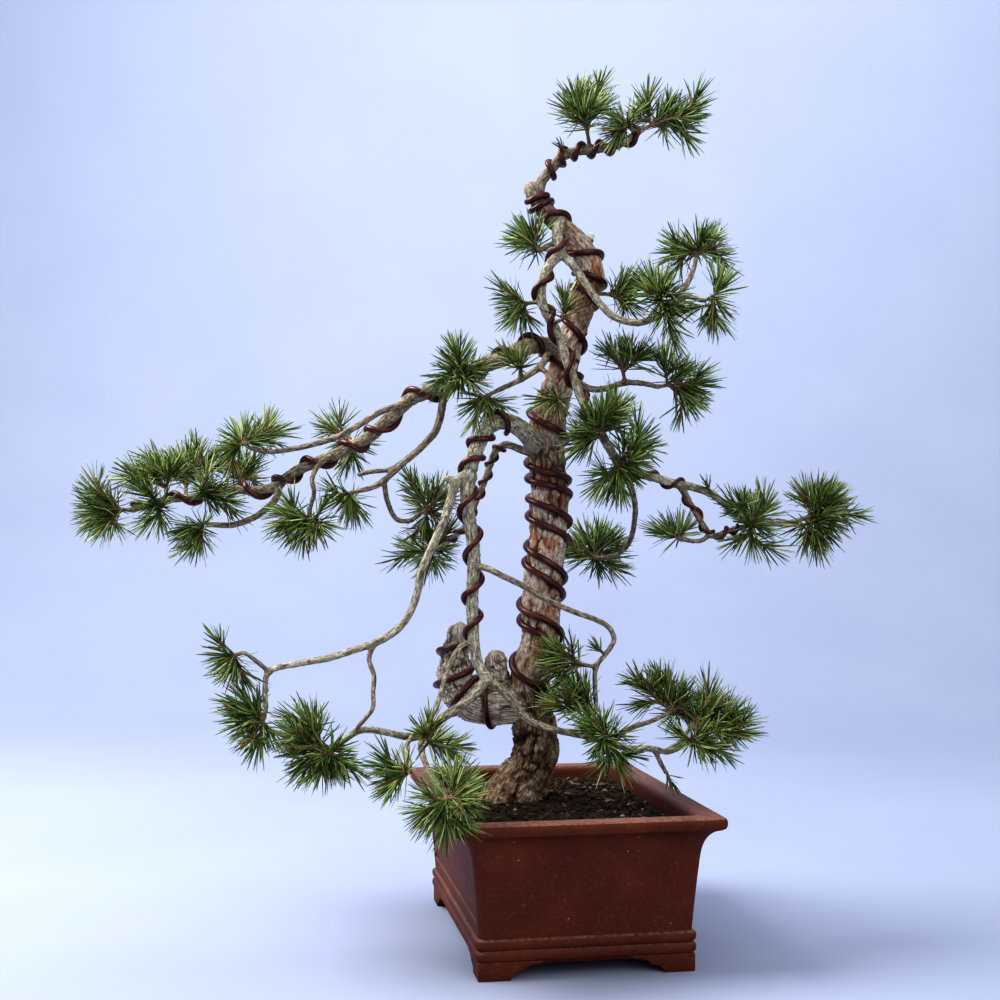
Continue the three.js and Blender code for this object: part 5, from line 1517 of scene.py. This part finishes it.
def stepped_slab(turned, material):
    """The foot's stepped outline, drawn out across; turned, it is seen from the other side."""
    shape = bmesh.new()
    extra = FOOT_OVERLAP if turned else 0.0
    rows = []
    for depth in (-extra, FOOT_LENGTH + extra):
        row = [(depth, along, height) if turned else (along, depth, height) for along, height in FOOT_OUTLINE]
        rows.append([shape.verts.new(place) for place in row])
    low, high = rows
    for corners in zip(low, low[1:] + low[:1], high[1:] + high[:1], high):
        shape.faces.new(corners)
    shape.faces.new(low)
    shape.faces.new(high)
    bmesh.ops.recalc_face_normals(shape, faces=shape.faces)
    return loose_object(shape, material)


def pot_foot(sign_x, sign_y, material):
    foot = stepped_slab(False, material)
    combine(foot, stepped_slab(True, material), "INTERSECT")
    modified(foot, "BEVEL", width=FOOT_BEVEL, segments=3, limit_method="ANGLE", angle_limit=FOOT_BEVEL_EDGE)
    corner = (sign_x * (POT_WIDTH / 2 - FOOT_INSET), sign_y * (POT_LENGTH / 2 - FOOT_INSET), 0)
    foot.data.transform(Matrix.Translation(corner) @ Matrix.Diagonal((-sign_x, -sign_y, 1, 1)))
    if sign_x * sign_y < 0:
        with edited(foot.data) as shape:
            bmesh.ops.reverse_faces(shape, faces=shape.faces)
    return foot


# Soil: a block with a crumbly top, and loose crumbs and fallen needles on it. The rise and the
# sides are rows of (inset from the rim, height).
SOIL_STEP = 1.7
SOIL_INSET = 24.5
SOIL_RISE = ((SOIL_INSET, 113), (27, 115), (45, 114), (70, 116.5), (100, 118))
SOIL_SIDE = ((25.75, 105), (27.85, 90), (31.35, 30), (33.35, 27.35))
SOIL_SWELL = ((0.05, 0.9), (0.13, 0.5))
SOIL_EDGE = (24.5, 30)
SOIL_SINK = 0.9
SIDE_TONE = 0.3
SOIL_SEED = 41
# Two sizes of grain: how fine, how sharp, their least height as a share, the number that gives each
# grain its own height, where the pattern starts, and the height
GRAIN = (0.3, 2.2, 0.35, 5.1, Vector((0, 0, 0)), 1.1)
DUST = (0.75, 2.4, 0.3, 4.3, Vector((40, 9, 3)), 0.45)
TONE_NUMBER = 9.7
TONE_SHARES = (0.6, 0.25, 0.15)
# Each kind of loose crumb: how many, how round, and the least and greatest size
CRUMBS = ((900, 2, 1.1, 2.6), (1900, 1, 0.5, 1.1))
CRUMB_INSET = 29
CRUMB_FLATNESS = ((0.75, 1.2), (0.75, 1.2), (0.55, 0.9))
CRUMB_BUMP = 0.45
CRUMB_BUMP_SCALE = 1.4
CRUMB_RAISE = 0.3
TAN_CRUMBS = 0.03
FALLEN_NEEDLES = 9
FALLEN_LENGTH = 21
FALLEN_SPLIT = 0.14
FALLEN_WITHIN = 0.85
FALLEN_RAISE = 0.6
FALLEN_SIDES = 5
FALLEN_RINGS = ((0, 0.5), (0.3, 0.5), (0.6, 0.45), (1, 0.2))


def grain_at(place, fineness, sharpness, least, number, start, height):
    """How far a rounded grain stands up at a place as a share and in millimetres, and its middle."""
    distances, centres = noise.voronoi(place * fineness + start)
    own_share = least + (1 - least) * noise.cell(centres[0] * number)
    share = max(0.0, 1 - distances[0] ** 2 * sharpness) * own_share
    return share, share * height, centres[0]


def soil_height(x, y):
    """Height of the soil's top in the pot, with grains, and the tone of the grain there."""
    inset = min(POT_WIDTH / 2 - abs(x), POT_LENGTH / 2 - abs(y))
    level = float(np.interp(inset, *zip(*SOIL_RISE)))
    place = Vector((x, y, 0))
    grain, grain_height, middle = grain_at(place, *GRAIN)
    dust, dust_height, _ = grain_at(place, *DUST)
    edge = float(smoothstep(*SOIL_EDGE, inset))
    tone = np.dot(TONE_SHARES, (noise.cell(middle * TONE_NUMBER), dust, grain))
    return level + edge * (noises(place, SOIL_SWELL) + grain_height + dust_height - SOIL_SINK), tone


def soil_block():
    """Points, faces and tones of the soil: its top, and then its sides and base."""
    half_x, half_y = POT_WIDTH / 2 - SOIL_INSET, POT_LENGTH / 2 - SOIL_INSET
    xs = np.linspace(-half_x, half_x, round(2 * half_x / SOIL_STEP) + 1)
    ys = np.linspace(-half_y, half_y, round(2 * half_y / SOIL_STEP) + 1)
    rows = [(x, y, *soil_height(x, y)) for y in ys for x in xs]
    points = [row[:3] for row in rows]
    tones = [row[3] for row in rows]
    grid = np.arange(len(points)).reshape(len(ys), len(xs))
    corners = (grid[:-1, :-1], grid[:-1, 1:], grid[1:, 1:], grid[1:, :-1])
    faces = list(zip(*[corner.ravel().tolist() for corner in corners]))
    top = np.concatenate([grid[0], grid[1:, -1], grid[-1, -2::-1], grid[-2:0:-1, 0]]).tolist()
    border = [points[index] for index in top]
    for inset, height in SOIL_SIDE:
        side = list(range(len(points), len(points) + len(border)))
        share_x, share_y = (POT_WIDTH / 2 - inset) / half_x, (POT_LENGTH / 2 - inset) / half_y
        points += [(x * share_x, y * share_y, height) for x, y, _ in border]
        faces += zip(top, side, side[1:] + side[:1], top[1:] + top[:1])
        top = side
    faces.append(tuple(top))
    return points, faces, tones + [SIDE_TONE] * (len(points) - len(tones))


def crumb_shape(roundness):
    """The points and faces of a ball that is rounder the higher the number."""
    shape = bmesh.new()
    bmesh.ops.create_icosphere(shape, subdivisions=roundness, radius=1.0)
    points = [tuple(vertex.co) for vertex in shape.verts]
    faces = [tuple(vertex.index for vertex in face.verts) for face in shape.faces]
    shape.free()
    return points, faces


def add_crumb(data, shape, x, y, size, tone, random_source):
    """A bumpy, flattened and turned crumb that rests on the soil."""
    points, faces = shape
    seed = Vector([random_source.uniform(0, 90) for _ in range(3)])
    bumps = [1 + CRUMB_BUMP * noise.noise(Vector(point) * CRUMB_BUMP_SCALE + seed) for point in points]
    flat = [random_source.uniform(*limits) for limits in CRUMB_FLATNESS]
    turn = np.array(Matrix.Rotation(random_source.uniform(0, math.pi), 3, "Z"))
    spots = (points * np.array(bumps)[:, None] * flat * size) @ turn.T
    data.add(spots + [x, y, soil_height(x, y)[0] + size * CRUMB_RAISE], faces, 0, tone=tone)


def build_soil(material):
    random_source = random.Random(SOIL_SEED)
    points, faces, tones = soil_block()
    data = MeshData()
    data.add(points, faces, 0, tone=tones)
    half_x, half_y = POT_WIDTH / 2 - CRUMB_INSET, POT_LENGTH / 2 - CRUMB_INSET
    for count, roundness, least, greatest in CRUMBS:
        shape = crumb_shape(roundness)
        for _ in range(count):
            x, y = random_source.uniform(-half_x, half_x), random_source.uniform(-half_y, half_y)
            tone = random_source.random() ** 2 * 0.9 if random_source.random() > TAN_CRUMBS else 1.0
            add_crumb(data, shape, x, y, random_source.uniform(least, greatest), tone, random_source)
    shares, radii = zip(*FALLEN_RINGS)
    for _ in range(FALLEN_NEEDLES):
        x, y = random_source.uniform(-half_x, half_x), random_source.uniform(-half_y, half_y)
        foot = np.array([x, y]) * FALLEN_WITHIN
        turn = random_source.uniform(0, FULL_TURN)
        for spread in (-FALLEN_SPLIT, FALLEN_SPLIT):
            way = np.array([math.cos(turn + spread), math.sin(turn + spread)])
            places = [foot + way * FALLEN_LENGTH * share for share in shares]
            level = max(soil_height(x, y)[0] for x, y in places) + FALLEN_RAISE
            data.tube(np.array([(x, y, level) for x, y in places]), radii, FALLEN_SIDES, tone=1.0)
    piece = data.build("granular_soil", [material])
    piece.data.transform(POT_PLACING)
    dress(piece, ["soil"])


# The whole plant. The wires wind on the bare wood, and the needles keep clear of everything.
FIRST_SEED = 11
WIRE_BAR_EVERY = 3

SPURS = {name: spray_spur(spray) for name, spray in SPRAYS.items()}
wood_routes = wood_ways()
bars = Bars()
for number, (_, way_points, way_radii) in enumerate(wood_routes):
    bars.add(number, way_points, way_radii)
build_wood(wood_routes, bars)
build_pot(clay_material())
build_soil(soil_material())
for spur in SPURS.values():
    bars.add("stem", [spur.end, spur.fork], CORE_RADIUS)
wire_finish = wire_material()
wire_paths = {name: wire_path(wire, bars) for name, wire in WIRES.items()}
for name, path in wire_paths.items():
    build_wire(name, WIRES[name], path, wire_finish)
    bars.add(name, path[::WIRE_BAR_EVERY], WIRES[name]["gauge"])
for name, spur in SPURS.items():
    for i, tip in enumerate(spur.tips):
        bars.add(f"{name} {i}", [spur.fork, tip], CORE_RADIUS)
needle_finishes = [needle_material(), twig_material(), bud_material()]
for i, (name, spur) in enumerate(SPURS.items()):
    build_spray(name, spur, bars, FIRST_SEED + i, needle_finishes)

# Floor, light and camera
FLOOR_REACH = 6.0
BACKDROP_FOOT = 1.2
BACKDROP_BEND = 1.6
BACKDROP_STEPS = 16
RAISED_FULLY = 2.4
LENS = 51.99
SENSOR = 36
SHIFT = 0.0473
PLANT_MIDDLE = (0, 0, 0.35)
WORLD_COLOUR = (0.9, 0.94, 1.0, 1.0)
WORLD_STRENGTH = 0.4
# Each light: place, what it looks at, size, power and colour
LIGHTS = {
    "key": ((-1.5, 0.25, 1.8), PLANT_MIDDLE, 1.2, 62, (1.0, 0.97, 0.92)),
    "fill": ((0.6, -2.0, 1.3), PLANT_MIDDLE, 1.6, 17, (1.0, 0.98, 0.95)),
    "backdrop_light": ((0.2, 0.9, 2.6), (0.4, 2.4, 0.5), 3.4, 44, (0.96, 0.97, 1.0)),
}


def add_floor():
    """A wide floor that rises softly into a backdrop behind the plant."""
    shape = bmesh.new()
    angles = np.linspace(0, math.pi / 2, BACKDROP_STEPS + 1)[1:]
    profile = [(-FLOOR_REACH, 0.0), (BACKDROP_FOOT, 0.0)]
    profile += [(BACKDROP_FOOT + BACKDROP_BEND * math.sin(angle), BACKDROP_BEND * (1 - math.cos(angle)))
                for angle in angles]
    profile.append((BACKDROP_FOOT + BACKDROP_BEND, FLOOR_REACH))
    rows = [[shape.verts.new((x, y, z)) for x in (-FLOOR_REACH, FLOOR_REACH)] for y, z in profile]
    for low, high in zip(rows, rows[1:]):
        shape.faces.new((low[0], low[1], high[1], high[0])).smooth = True
    shape.transform(Matrix.Rotation(-FRONT_TURN, 4, "Z"))
    mesh = bpy.data.meshes.new("floor")
    shape.to_mesh(mesh)
    shape.free()
    set_values(mesh, "raised", [min(vertex.co.z / RAISED_FULLY, 1.0) for vertex in mesh.vertices])
    mesh.materials.append(floor_material())
    floor = linked("floor", mesh)


def add_light(name, place, target, size, power, colour):
    """A square soft light that looks at a target."""
    lamp = bpy.data.lights.new(name, "AREA")
    lamp.shape = "SQUARE"
    lamp.size = size
    lamp.energy = power
    lamp.color = colour
    light = linked(name, lamp)
    light.location = place
    light.rotation_euler = (Vector(target) - Vector(place)).to_track_quat("-Z", "Y").to_euler()


def add_world():
    world = bpy.data.worlds.new("pale_room")
    world.use_nodes = True
    background = world.node_tree.nodes["Background"]
    background.inputs["Color"].default_value = WORLD_COLOUR
    background.inputs["Strength"].default_value = WORLD_STRENGTH
    bpy.context.scene.world = world


def add_camera():
    lens = bpy.data.cameras.new("camera")
    lens.lens = LENS
    lens.sensor_width = SENSOR
    lens.shift_y = SHIFT
    camera = linked("camera", lens)
    camera.location = to_frame(EYE)
    camera.rotation_euler = (math.pi / 2, 0, -FRONT_TURN)
    bpy.context.scene.camera = camera


add_floor()
for name, light in LIGHTS.items():
    add_light(name, *light)
add_world()
add_camera()
bpy.context.scene.view_settings.view_transform = "Standard"
bpy.context.scene.view_settings.look = "High Contrast"
